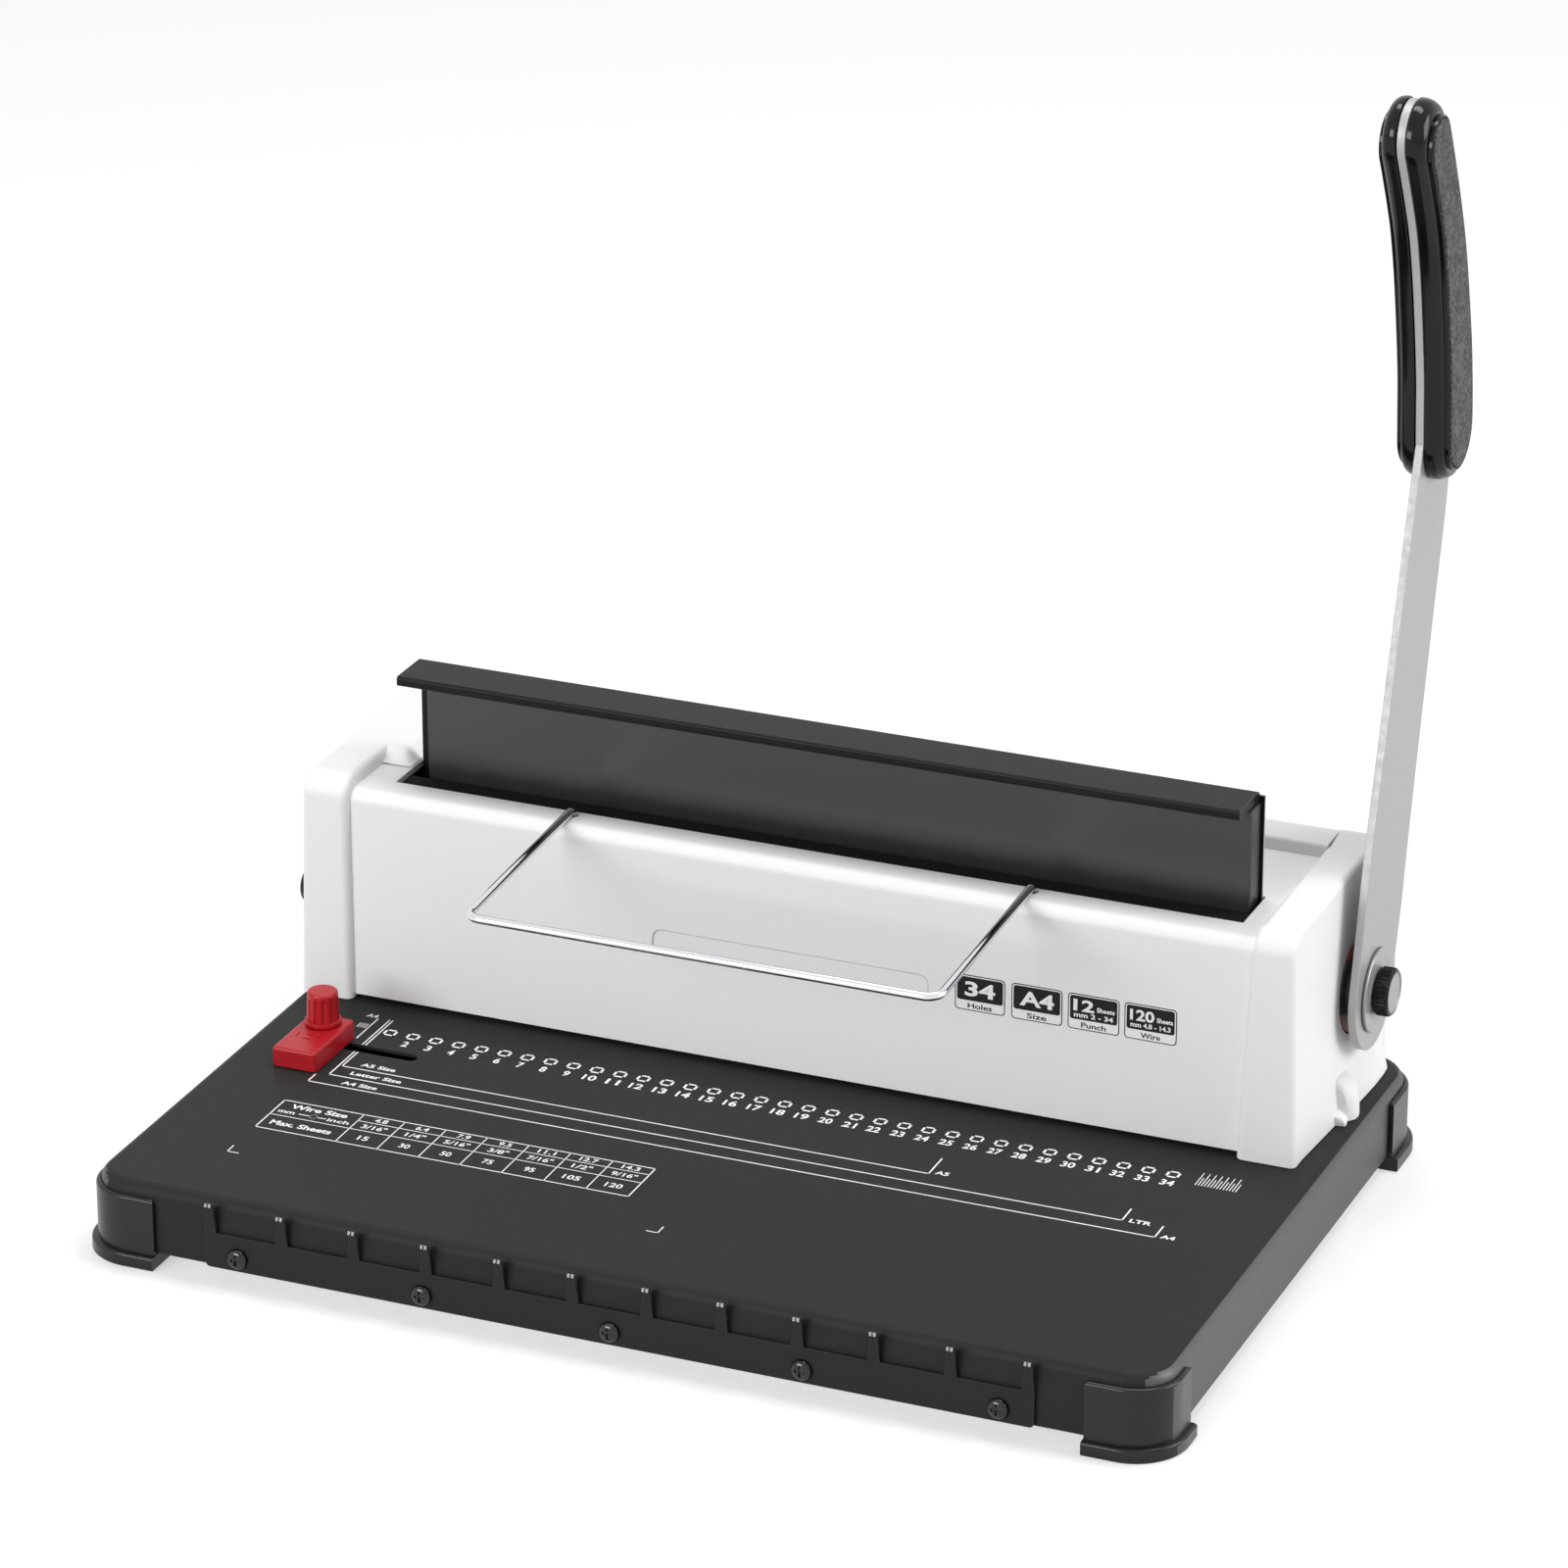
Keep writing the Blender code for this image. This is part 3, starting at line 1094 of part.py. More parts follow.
def gear_outline(teeth):
    """Straight-sided teeth on a pitch circle; the first tooth points to the front."""
    radius = GEAR_MODULE * teeth / 2
    pitch = 360 / teeth
    points = []
    for tooth in range(teeth):
        middle = 180 + tooth * pitch
        for share, reach in ((-TOOTH_ROOT_SHARE, -TOOTH_DEDENDUM), (-TOOTH_TIP_SHARE, TOOTH_ADDENDUM),
                             (TOOTH_TIP_SHARE, TOOTH_ADDENDUM), (TOOTH_ROOT_SHARE, -TOOTH_DEDENDUM)):
            angle = math.radians(middle + share * pitch)
            points.append((HUB_Y + (radius + reach) * math.cos(angle),
                           HUB_Z + (radius + reach) * math.sin(angle)))
    return points


def rack_teeth(pitch_y, low, high):
    """Points up a rack whose tooth gap faces the gear's first tooth."""
    pitch = math.pi * GEAR_MODULE
    first = math.ceil((low - HUB_Z) / pitch - 0.5)
    last = math.floor((high - HUB_Z) / pitch - 0.5)
    points = []
    for tooth in range(first, last + 1):
        middle = HUB_Z + (tooth + 0.5) * pitch
        for share, reach in ((-TOOTH_ROOT_SHARE, -TOOTH_DEDENDUM), (-TOOTH_TIP_SHARE, TOOTH_ADDENDUM),
                             (TOOTH_TIP_SHARE, TOOTH_ADDENDUM), (TOOTH_ROOT_SHARE, -TOOTH_DEDENDUM)):
            points.append((pitch_y + reach, middle + share * pitch))
    return points


def closer_rack_places():
    return (-CLOSER_LEFT + CLOSER_RACK_INSET, CLOSER_RIGHT - CLOSER_RACK_INSET - RACK_WIDTH)


def punch_rack_places():
    return (PUNCH_RACK_INSET, ROW_LENGTH - PUNCH_RACK_INSET - RACK_WIDTH)


def make_drive():
    spread = (RACK_WIDTH - GEAR_WIDTH) / 2
    bore = circle((HUB_Y, HUB_Z), SHAFT_RADIUS + SEAT_GAP, ROUND_STEPS)
    stroke = math.radians(LEVER_STROKE)
    for side, rack_x, pinion_x in zip(("left", "right"), closer_rack_places(), punch_rack_places()):
        gear = plate_mesh(f"closer_gear_{side}", [gear_outline(CLOSER_GEAR_TEETH), bore], "X",
                          rack_x + spread, GEAR_WIDTH)
        add_part(f"closer_gear_{side}", gear, "zinc", "handle")
        pinion = plate_mesh(f"punch_pinion_{side}", [gear_outline(PUNCH_PINION_TEETH), bore], "X",
                            pinion_x + spread, GEAR_WIDTH)
        add_part(f"punch_pinion_{side}", pinion, "zinc", "handle")

        pitch_y = HUB_Y - CLOSER_GEAR_RADIUS
        low = HUB_Z - RACK_END
        high = HUB_Z + stroke * CLOSER_GEAR_RADIUS + RACK_END
        high = min(high, PANEL_TOP - COVER_WALL - SEAT_GAP)
        back = CLOSER_REAR + SEAT_GAP
        root = pitch_y - TOOTH_DEDENDUM
        outline = [(back, high), (back, low), (root, low)]
        outline += rack_teeth(pitch_y, low, high) + [(root, high)]
        rack = plate_mesh(f"closer_rack_{side}", [outline], "X", rack_x, RACK_WIDTH)
        add_part(f"closer_rack_{side}", rack, "zinc", "closer")

        pitch_y = HUB_Y - PUNCH_PINION_RADIUS
        arm_low = PIN_STRIP_BOTTOM + PIN_STRIP_HEIGHT + SEAT_GAP
        arm_high = arm_low + PUNCH_ARM_HEIGHT
        high = HUB_Z + stroke * PUNCH_PINION_RADIUS + RACK_END
        root = pitch_y - TOOTH_DEDENDUM
        back = root - PUNCH_RACK_BODY
        beam_rear = PUNCH_ROW + BEAM_DEPTH / 2 + SEAT_GAP
        outline = [(back, high), (back, arm_high), (beam_rear, arm_high), (beam_rear, arm_low),
                   (root, arm_low)]
        outline += rack_teeth(pitch_y, arm_low, high) + [(root, high)]
        rack = plate_mesh(f"punch_rack_{side}", [outline], "X", pinion_x, RACK_WIDTH)
        add_part(f"punch_rack_{side}", rack, "zinc", "punch")

    start = -FRAME_LEFT - FRAME_THICKNESS - SHAFT_LEFT_OVERHANG
    end = LEVER_INNER_FACE - SEAT_GAP
    shaft = rod("drive_shaft", SHAFT_RADIUS, end - start, "X", (start, HUB_Y, HUB_Z), "zinc",
                "handle", ROUND_STEPS)
    stem_end = LEVER_INNER_FACE + LEVER_THICKNESS + WASHER_THICKNESS - STEM_LENGTH - OVERRUN
    cut(shaft, rod_cutter("shaft_thread", STEM_RADIUS + SEAT_GAP, stem_end, end + OVERRUN, "X",
                          (HUB_Y, HUB_Z), ROUND_STEPS))


def make_return_spring():
    """A torsion coil round the shaft with one leg under the upper tie rod."""
    points = []
    per_turn = SPRING_STEPS
    for step in range(SPRING_TURNS * per_turn + 1):
        angle = 2 * math.pi * step / per_turn
        points.append((SPRING_START + SPRING_PITCH * step / per_turn,
                       HUB_Y + SPRING_RADIUS * math.sin(angle),
                       HUB_Z + SPRING_RADIUS * math.cos(angle)))
    x_end = points[-1][0]
    leg_z = TIE_ROD_HIGH - TIE_ROD_RADIUS - SPRING_WIRE_RADIUS - SEAT_GAP
    points += [(x_end, HUB_Y + SPRING_RADIUS, HUB_Z + SPRING_RADIUS),
               (x_end, TIE_ROD_BACK - TIE_ROD_RADIUS, leg_z),
               (x_end, TIE_ROD_BACK + TIE_ROD_RADIUS, leg_z)]
    least = SPRING_PITCH - 2 * SPRING_WIRE_RADIUS
    print("least gap between the spring's turns", round(least, 5))
    mesh = wire_mesh("return_spring", points, SPRING_WIRE_RADIUS, 1)
    add_part("return_spring", mesh, "zinc", smooth=60)


# Lever

def lever_frame(index, points):
    """Unit direction along the centre line and unit normal to the back."""
    before = points[max(index - 1, 0)]
    after = points[min(index + 1, len(points) - 1)]
    along = Vector((after[0] - before[0], after[1] - before[1])).normalized()
    return along, Vector((along.y, -along.x))


def smooth_line(points, steps=3):
    """A Catmull-Rom line through the given points, with its ends kept."""
    line = []
    for index in range(len(points) - 1):
        a = Vector(points[max(index - 1, 0)])
        b, c = Vector(points[index]), Vector(points[index + 1])
        d = Vector(points[min(index + 2, len(points) - 1)])
        for step in range(steps):
            t = step / steps
            line.append(0.5 * (2 * b + (c - a) * t + (2 * a - 5 * b + 4 * c - d) * t ** 2
                               + (3 * b - a - 3 * c + d) * t ** 3))
    line.append(Vector(points[-1]))
    return line


def blade_outline(stations, round_end_steps):
    """Front and back edges along a centre line, with a half-round far end."""
    fronts, backs = [], []
    for index, station in enumerate(stations):
        along, back = lever_frame(index, stations)
        centre = Vector(station[:2])
        fronts.append(centre - back * station[2])
        backs.append(centre + back * station[2])
    along, back = lever_frame(len(stations) - 1, stations)
    centre, half = Vector(stations[-1][:2]), stations[-1][2]
    tip = []
    for step in range(1, round_end_steps):
        angle = math.pi * step / round_end_steps
        tip.append(centre - back * half * math.cos(angle) + along * half * math.sin(angle))
    return fronts, tip, backs


def grip_stations(margin, heel_pull=0, tip_pull=0):
    """The grip's centre line and half width, narrowed by a margin, its ends drawn in."""
    line = smooth_line([(back * LEVER_LENGTH, up * LEVER_LENGTH, wide * LEVER_GRIP_HALF_WIDTH)
                        for back, up, wide in GRIP_LINE_SHARES], 2)
    stations = [(point.x, point.y, point.z - margin) for point in line]
    for end, pull, sign in ((0, heel_pull, 1), (len(stations) - 1, tip_pull, -1)):
        along, _ = lever_frame(end, stations)
        back, up, half = stations[end]
        stations[end] = (back + sign * along.x * pull, up + sign * along.y * pull, half)
    return stations


def in_machine(points):
    return [(HUB_Y + point[0], HUB_Z + point[1]) for point in points]


def lever_outline():
    shank = [Vector((back * LEVER_LENGTH, up * LEVER_LENGTH, half * LEVER_HUB_RADIUS))
             for back, up, half in SHANK_LINE_SHARES]
    grip = [Vector(station) for station in grip_stations(GRIP_OVERLAP)]
    fronts, tip, backs = blade_outline(shank + grip, ARC_STEPS * 2)
    hub = arc((LEVER_HUB_BACK, 0), LEVER_HUB_RADIUS, 370, 165, ARC_STEPS * 3)
    hub = [point for point in hub if point[1] < LEVER_HUB_RADIUS * 0.45]
    return in_machine(fronts + tip + backs[::-1] + hub)


def grip_outline(margin, heel_pull=0, tip_pull=0):
    """A closed outline with both ends round."""
    stations = grip_stations(margin, heel_pull, tip_pull)
    fronts, tip, backs = blade_outline(stations, ARC_STEPS * 2)
    along, back = lever_frame(0, stations)
    centre, half = Vector(stations[0][:2]), stations[0][2]
    heel = []
    steps = ARC_STEPS * 2
    for step in range(1, steps):
        angle = math.pi * step / steps
        heel.append(centre + back * half * math.cos(angle) - along * half * math.sin(angle))
    return in_machine(fronts + tip + backs[::-1] + heel)


def bezel_outline(margin):
    return grip_outline(margin, BEZEL_HEEL_PULL, BEZEL_TIP_PULL)


def make_grip_half(name, face, outward):
    """A moulded half: a rounded body with a lower bezel on its outer side for the insert."""
    levels = [(grip_outline(share * BEZEL_MARGIN), height * GRIP_BODY_THICKNESS)
              for share, height in GRIP_SECTION_SHARES]
    thickness = GRIP_BODY_THICKNESS + GRIP_BEZEL_THICKNESS
    chamfer = (INSERT_MARGIN - BEZEL_MARGIN) / 3
    levels += [(bezel_outline(BEZEL_MARGIN), GRIP_BODY_THICKNESS),
               (bezel_outline(BEZEL_MARGIN), thickness - chamfer),
               (bezel_outline(BEZEL_MARGIN + chamfer), thickness)]
    builder = bmesh.new()
    loops = []
    for outline, depth in levels:
        x = face + outward * depth
        loops.append([builder.verts.new((x, y, z)) for y, z in outline])
    loft(builder, loops)
    half = add_part(name, mesh_from(name, builder), "grip_black", "handle", smooth=40)
    pocket_depth = INSERT_SUNK + SEAT_GAP
    outer = face + outward * thickness
    starts = sorted((outer - outward * pocket_depth, outer + outward * OVERRUN))
    pocket = plate_mesh(name + "_pocket", [bezel_outline(INSERT_MARGIN - SEAT_GAP)], "X",
                        starts[0], starts[1] - starts[0])
    cut(half, add_cutter(name + "_pocket", pocket))
    starts = sorted((outer - outward * INSERT_SUNK,
                     outer + outward * (INSERT_THICKNESS - INSERT_SUNK)))
    insert_name = name.replace("grip", "grip_insert")
    mesh = plate_mesh(insert_name, [bezel_outline(INSERT_MARGIN)], "X", starts[0],
                      INSERT_THICKNESS)
    add_part(insert_name, mesh, "insert_grey", "handle")


def make_lever():
    bore = circle((HUB_Y, HUB_Z), STEM_RADIUS + SEAT_GAP, ROD_STEPS)
    lever = plate_mesh("lever", [lever_outline(), bore], "X", LEVER_INNER_FACE, LEVER_THICKNESS)
    add_part("lever", lever, "lever_silver", "handle")
    outer_face = LEVER_INNER_FACE + LEVER_THICKNESS
    make_grip_half("grip_outer", outer_face + SEAT_GAP, 1)
    make_grip_half("grip_inner", LEVER_INNER_FACE - SEAT_GAP, -1)
    disc_start = HUB_DISC_FACE - HUB_DISC_THICKNESS
    boss_end = LEVER_INNER_FACE - SEAT_GAP - disc_start
    bore_radius = SHAFT_RADIUS + SEAT_GAP
    profile = [(HUB_BOSS_RADIUS, boss_end), (HUB_BOSS_RADIUS, HUB_DISC_THICKNESS),
               (HUB_DISC_RADIUS, HUB_DISC_THICKNESS), (HUB_DISC_RADIUS, 0),
               (bore_radius, 0), (bore_radius, boss_end)]
    turned_part("hub_flange", profile, "X", (disc_start, HUB_Y, HUB_Z), "disc_red", "handle",
                FINE_STEPS, closed=True)
    washer_start = outer_face + SEAT_GAP
    tube("lever_washer", WASHER_RADIUS, STEM_RADIUS + SEAT_GAP, WASHER_THICKNESS, "X",
         (washer_start, HUB_Y, HUB_Z), "lever_silver", "handle", FINE_STEPS)
    make_thumb_knob(washer_start + WASHER_THICKNESS + SEAT_GAP)


def make_thumb_knob(start):
    """A knurled head on a screw that clamps the lever to the shaft."""
    outline = [(HUB_Y + a, HUB_Z + b)
               for a, b in ridged_circle(THUMB_RADIUS, RIDGE_DEPTH, THUMB_RIDGES, 2)]
    head = plate_mesh("thumb_knob", [outline], "X", start, THUMB_THICKNESS - THUMB_CHAMFER)
    knob = add_part("thumb_knob", head, "knob_black", "thumb_knob")
    cap_radius = THUMB_RADIUS - RIDGE_DEPTH
    cap_start = start + THUMB_THICKNESS - THUMB_CHAMFER
    cap = turned_part("thumb_cap", [(0, THUMB_CHAMFER), (cap_radius - THUMB_CHAMFER, THUMB_CHAMFER),
                                    (cap_radius - RIDGE_DEPTH, 0),
                                    (cap_radius - RIDGE_DEPTH, -THUMB_CHAMFER),
                                    (0, -THUMB_CHAMFER)],
                      "X", (cap_start, HUB_Y, HUB_Z), "knob_black", "thumb_knob")
    move_to_cutters(cap)
    fuse(knob, cap)
    stem = rod("thumb_stem", STEM_RADIUS, STEM_LENGTH + SEAT_GAP, "X",
               (start - STEM_LENGTH, HUB_Y, HUB_Z), "knob_black", "thumb_knob")
    move_to_cutters(stem)
    fuse(knob, stem)


def move_to_cutters(part):
    """A turned piece that is only joined to another becomes a hidden tool."""
    PARTS.objects.unlink(part)
    CUTTERS.objects.link(part)
    part.hide_render = True
    part.display_type = "WIRE"


# Bail

def make_bail():
    """A U of wire whose legs bend down into two holes of the cover's front lip."""
    slope = math.radians(BAIL_SLOPE)
    height = PANEL_TOP + BAIL_RADIUS + SEAT_GAP
    bend = BAIL_FOOT_BEND

    def foot(x):
        """From the end under the cover up round the bend to the leg."""
        centre_y, centre_z = BAIL_FOOT_Y - bend, height - bend
        path = [(x, BAIL_FOOT_Y, PANEL_TOP - BAIL_FOOT_DEPTH)]
        for y, z in arc((centre_y, centre_z), bend, 0, 90, 4):
            path.append((x, y, z))
        return path

    def along(distance, x):
        return (x, BAIL_FOOT_Y - distance * math.cos(slope), height - distance * math.sin(slope))

    corner = []
    for step in range(ARC_STEPS + 1):
        turn = math.radians(90 * step / ARC_STEPS)
        corner.append((BAIL_REACH - BAIL_CORNER * (1 - math.sin(turn)),
                       BAIL_CORNER * (1 - math.cos(turn))))
    points = foot(BAIL_LEFT)
    points += [along(reach, BAIL_LEFT + inward) for reach, inward in corner]
    points += [along(reach, BAIL_RIGHT - inward) for reach, inward in corner[::-1]]
    points += foot(BAIL_RIGHT)[::-1]
    add_part("bail", wire_mesh("bail", points, BAIL_RADIUS, 2), "chrome", smooth=60)


# Edge guide

def make_edge_guide():
    x, y, _ = AXES["guide"]
    low = (-GUIDE_LEFT, -GUIDE_FRONT, SEAT_GAP)
    high = (-GUIDE_LEFT + GUIDE_WIDTH, -GUIDE_FRONT + GUIDE_LENGTH, GUIDE_HEIGHT)
    mesh = box_mesh("edge_guide", low, high, GUIDE_ROUNDING, 3,
                    lambda edge: not all(vert.co.z < SEAT_GAP + SNAP for vert in edge.verts))
    guide = add_part("edge_guide", mesh, "guide_red", "guide", smooth=40)
    cut(guide, rod_cutter("guide_bore", GUIDE_STEM_RADIUS + SEAT_GAP, -OVERRUN,
                          GUIDE_HEIGHT + OVERRUN, "Z", (x, y), ROUND_STEPS))
    nut_top = -DECK_SHEET - SEAT_GAP
    outline = rectangle((x - NUT_HALF_SIZE, y - NUT_HALF_SIZE), (x + NUT_HALF_SIZE, y + NUT_HALF_SIZE))
    bore = circle((x, y), GUIDE_STEM_RADIUS + SEAT_GAP, ROD_STEPS)
    nut = plate_mesh("guide_nut", [outline, bore], "Z", nut_top - NUT_THICKNESS, NUT_THICKNESS)
    add_part("guide_nut", nut, "zinc", "guide")

    seat = GUIDE_HEIGHT + SEAT_GAP
    outline = [(x + a, y + b) for a, b in ridged_circle(KNOB_RADIUS, FLUTE_DEPTH, KNOB_FLUTES)]
    body = plate_mesh("guide_knob", [outline], "Z", seat + KNOB_FLANGE_HEIGHT / 2,
                      KNOB_HEIGHT - KNOB_DOME - KNOB_FLANGE_HEIGHT / 2)
    knob = add_part("guide_knob", body, "guide_red", "guide_knob", smooth=40)
    dome_radius = KNOB_RADIUS - FLUTE_DEPTH
    dome = turned_part("knob_dome",
                       [(0, KNOB_HEIGHT), (dome_radius - KNOB_DOME, KNOB_HEIGHT),
                        (dome_radius - KNOB_DOME / 4, KNOB_HEIGHT - KNOB_DOME * 1.5),
                        (0, KNOB_HEIGHT - KNOB_DOME * 1.5)],
                       "Z", (x, y, seat), "guide_red", "guide_knob")
    flange = turned_part("knob_flange", [(0, KNOB_FLANGE_HEIGHT),
                                         (KNOB_FLANGE_RADIUS, KNOB_FLANGE_HEIGHT),
                                         (KNOB_FLANGE_RADIUS, 0), (0, 0)],
                         "Z", (x, y, seat), "guide_red", "guide_knob")
    stem_length = seat - nut_top + NUT_THICKNESS
    stem = rod("knob_stem", GUIDE_STEM_RADIUS, stem_length + KNOB_FLANGE_HEIGHT / 2, "Z",
               (x, y, seat - stem_length), "guide_red", "guide_knob")
    for piece in (dome, flange, stem):
        move_to_cutters(piece)
        fuse(knob, piece)


# Wire size knob

def make_size_knob():
    face = -COVER_LEFT - SIZE_KNOB_STANDOFF - SIZE_KNOB_REACH
    outline = [(SIZE_KNOB_Y + a, SIZE_KNOB_Z + b)
               for a, b in ridged_circle(SIZE_KNOB_RADIUS, RIDGE_DEPTH, THUMB_RIDGES, 2)]
    head = plate_mesh("size_knob", [outline], "X", face, SIZE_KNOB_REACH)
    knob = add_part("size_knob", head, "knob_black", "size_knob")
    end = -FRAME_LEFT + OVERRUN / 2
    start = face + SIZE_KNOB_REACH / 2
    spindle = rod("size_spindle", SIZE_SPINDLE_RADIUS, end - start, "X",
                  (start, SIZE_KNOB_Y, SIZE_KNOB_Z), "zinc", "size_knob")
    move_to_cutters(spindle)
    fuse(knob, spindle)
    outline = circle((SIZE_KNOB_Y, SIZE_KNOB_Z - SIZE_CAM_OFFSET), SIZE_CAM_RADIUS + SIZE_CAM_OFFSET,
                     ROUND_STEPS)
    bore = circle((SIZE_KNOB_Y, SIZE_KNOB_Z), SIZE_SPINDLE_RADIUS + SEAT_GAP, ROD_STEPS)
    cam = plate_mesh("size_cam", [outline, bore], "X",
                     -FRAME_LEFT - FRAME_THICKNESS - SEAT_GAP - SIZE_CAM_WIDTH, SIZE_CAM_WIDTH)
    add_part("size_cam", cam, "zinc", "size_knob")


# Chip tray

def make_chip_tray():
    low = (-TRAY_LEFT, TRAY_FRONT, -DECK_SKIRT + SEAT_GAP * 2 + FLOOR_PLATE_THICKNESS)
    high = (TRAY_RIGHT, DECK_REAR + SEAT_GAP + TRAY_FACE / 2, -TRAY_TOP)
    tray = add_part("chip_tray", box_mesh("chip_tray", low, high), "deck_black", "chip_tray")
    face = box_mesh("tray_face",
                    (-TRAY_LEFT - TRAY_WALL * 2, DECK_REAR + SEAT_GAP, low[2]),
                    (TRAY_RIGHT + TRAY_WALL * 2, DECK_REAR + SEAT_GAP + TRAY_FACE,
                     -TRAY_TOP + TRAY_WALL * 2))
    fuse(tray, add_cutter("tray_face", face))
    pull = box_mesh("tray_pull",
                    (ROW_MIDDLE - TRAY_PULL_LENGTH / 2, DECK_REAR + TRAY_FACE / 2,
                     -TRAY_TOP - TRAY_WALL),
                    (ROW_MIDDLE + TRAY_PULL_LENGTH / 2, DECK_REAR + TRAY_FACE + TRAY_PULL,
                     -TRAY_TOP + TRAY_WALL))
    fuse(tray, add_cutter("tray_pull", pull))
    hollow = box_mesh("tray_hollow",
                      (low[0] + TRAY_WALL, low[1] + TRAY_WALL, low[2] + TRAY_WALL),
                      (high[0] - TRAY_WALL, DECK_REAR - TRAY_WALL, high[2] + OVERRUN))
    cut(tray, add_cutter("tray_hollow", hollow))


def centre_on_floor():
    """Moves the whole machine so that its box is centred on the origin and stands on Z = 0."""
    bpy.context.view_layer.update()
    graph = bpy.context.evaluated_depsgraph_get()
    corners = []
    for part in PARTS.objects:
        if part.type == "MESH":
            evaluated = part.evaluated_get(graph)
            shape = evaluated.to_mesh()
            corners += [evaluated.matrix_world @ vertex.co for vertex in shape.vertices]
            evaluated.to_mesh_clear()
    low = [min(corner[axis] for corner in corners) for axis in range(3)]
    high = [max(corner[axis] for corner in corners) for axis in range(3)]
    MACHINE.location = (-(low[0] + high[0]) / 2, -(low[1] + high[1]) / 2, -low[2])
    bpy.context.view_layer.update()
    size = [round(b - a, 6) for a, b in zip(low, high)]
    print("machine origin at", [round(value, 6) for value in MACHINE.location], "size", size)


make_deck()
make_floor_plate()
make_foot("foot_front_left", -DECK_LEFT, -DECK_FRONT, -1, -1)
make_foot("foot_front_right", DECK_RIGHT, -DECK_FRONT, 1, -1)
make_foot("foot_back_left", -DECK_LEFT, DECK_REAR, -1, 1)
make_foot("foot_back_right", DECK_RIGHT, DECK_REAR, 1, 1)
make_hook_strip()
make_strip_screws()
make_centre_cover()
make_side_covers()
make_closer()
make_anvil()
make_frames()
make_die_set()
make_punch()
make_drive()
make_return_spring()
make_lever()
make_bail()
make_edge_guide()
make_size_knob()
make_chip_tray()
centre_on_floor()
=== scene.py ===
# %% [markdown]
# # A desktop wire binding machine
# A steel deck carries a white housing with a punch and a wire closer in it, a pull lever
# with a moulded grip, an edge guide and a wire support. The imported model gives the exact
# solids and how they move. This file gives each piece the edges, colours and surface
# that make it look like the real one, one step at a time.

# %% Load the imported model
from math import cos, hypot, pi, radians, sin

import bmesh
import bpy
from mathutils import Matrix, Vector


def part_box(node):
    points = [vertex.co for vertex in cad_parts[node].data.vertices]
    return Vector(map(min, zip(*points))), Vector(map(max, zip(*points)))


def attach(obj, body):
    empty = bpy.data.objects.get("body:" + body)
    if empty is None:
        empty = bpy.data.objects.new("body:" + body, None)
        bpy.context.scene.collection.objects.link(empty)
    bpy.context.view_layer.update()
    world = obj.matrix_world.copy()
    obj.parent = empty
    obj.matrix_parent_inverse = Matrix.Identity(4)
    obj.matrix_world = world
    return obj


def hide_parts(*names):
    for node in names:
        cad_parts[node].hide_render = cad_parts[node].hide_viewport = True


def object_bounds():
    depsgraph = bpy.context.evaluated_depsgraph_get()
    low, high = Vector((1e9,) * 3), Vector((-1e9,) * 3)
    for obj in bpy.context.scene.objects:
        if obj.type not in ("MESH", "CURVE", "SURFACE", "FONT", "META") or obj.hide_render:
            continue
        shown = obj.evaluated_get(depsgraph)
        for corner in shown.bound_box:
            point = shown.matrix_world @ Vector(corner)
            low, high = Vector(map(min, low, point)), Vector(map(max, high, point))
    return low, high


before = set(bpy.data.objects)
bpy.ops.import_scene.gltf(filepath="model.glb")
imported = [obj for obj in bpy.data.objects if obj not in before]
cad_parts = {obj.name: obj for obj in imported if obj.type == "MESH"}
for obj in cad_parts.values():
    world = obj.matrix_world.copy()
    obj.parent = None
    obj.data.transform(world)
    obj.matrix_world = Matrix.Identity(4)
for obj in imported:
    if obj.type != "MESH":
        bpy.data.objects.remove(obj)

cad_box = [list(corner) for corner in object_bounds()]
print("packed model's box", cad_box)

# %% [markdown]
# ## One place to measure from
# A binding machine is laid out from its hole row: the first punched hole is the zero that
# the paper stops, the printed scale and the dies share. Every drawing here is in
# millimetres from that point, with Z = 0 on the deck's top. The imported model's own deck
# tells where that point lies, so the pieces stay on the solids if the model is moved.

# %% Millimetres from the first hole
MM = 0.001
DECK_LOW = Vector((-43.5, -135.0, -23.4))
DECK_HIGH = Vector((324.5, 115.5, 0.0))
FIRST_HOLE = Vector(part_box("deck")[1]) - DECK_HIGH * MM
TO_FRAME = Matrix.Translation(FIRST_HOLE) @ Matrix.Diagonal((MM, MM, MM, 1))
print("first hole in the frame", [round(value, 5) for value in FIRST_HOLE])

# %% [markdown]
# ## The camera
# The photograph was taken from the front right, a little above, with a long lens, so that
# parallel edges stay nearly parallel. The lens and the place were worked out from the known
# hole pitch and the deck's corners. They are set first, because every later choice is
# judged through this view.

# %% Camera
def set_up(thing, **values):
    """Sets several values of a new thing at once."""
    for name, value in values.items():
        setattr(thing, name, value)
    return thing


def into_scene(name, data):
    item = bpy.data.objects.new(name, data)
    bpy.context.scene.collection.objects.link(item)
    return item


lens = set_up(bpy.data.cameras.new("camera"), lens=153.68, sensor_width=36, clip_end=50)
camera = into_scene("camera", lens)
camera.location = TO_FRAME @ Vector((911.407, -1833.814, 952.384))
camera.rotation_euler = [radians(angle) for angle in (67.141, 0, 22.719)]
bpy.context.scene.camera = camera
print("camera at", [round(value, 3) for value in camera.location])

# %% [markdown]
# ## Shapes from rules
# Most pieces of such a machine are folded sheet, cut plate, turned bar or bent wire. A few
# small makers of shapes follow those trades: a box with chosen edges rounded, a flat
# outline given a thickness, a profile turned about an axis, a section carried through
# rings, and a wire along a path. They return a bmesh, which is easy to join and change.

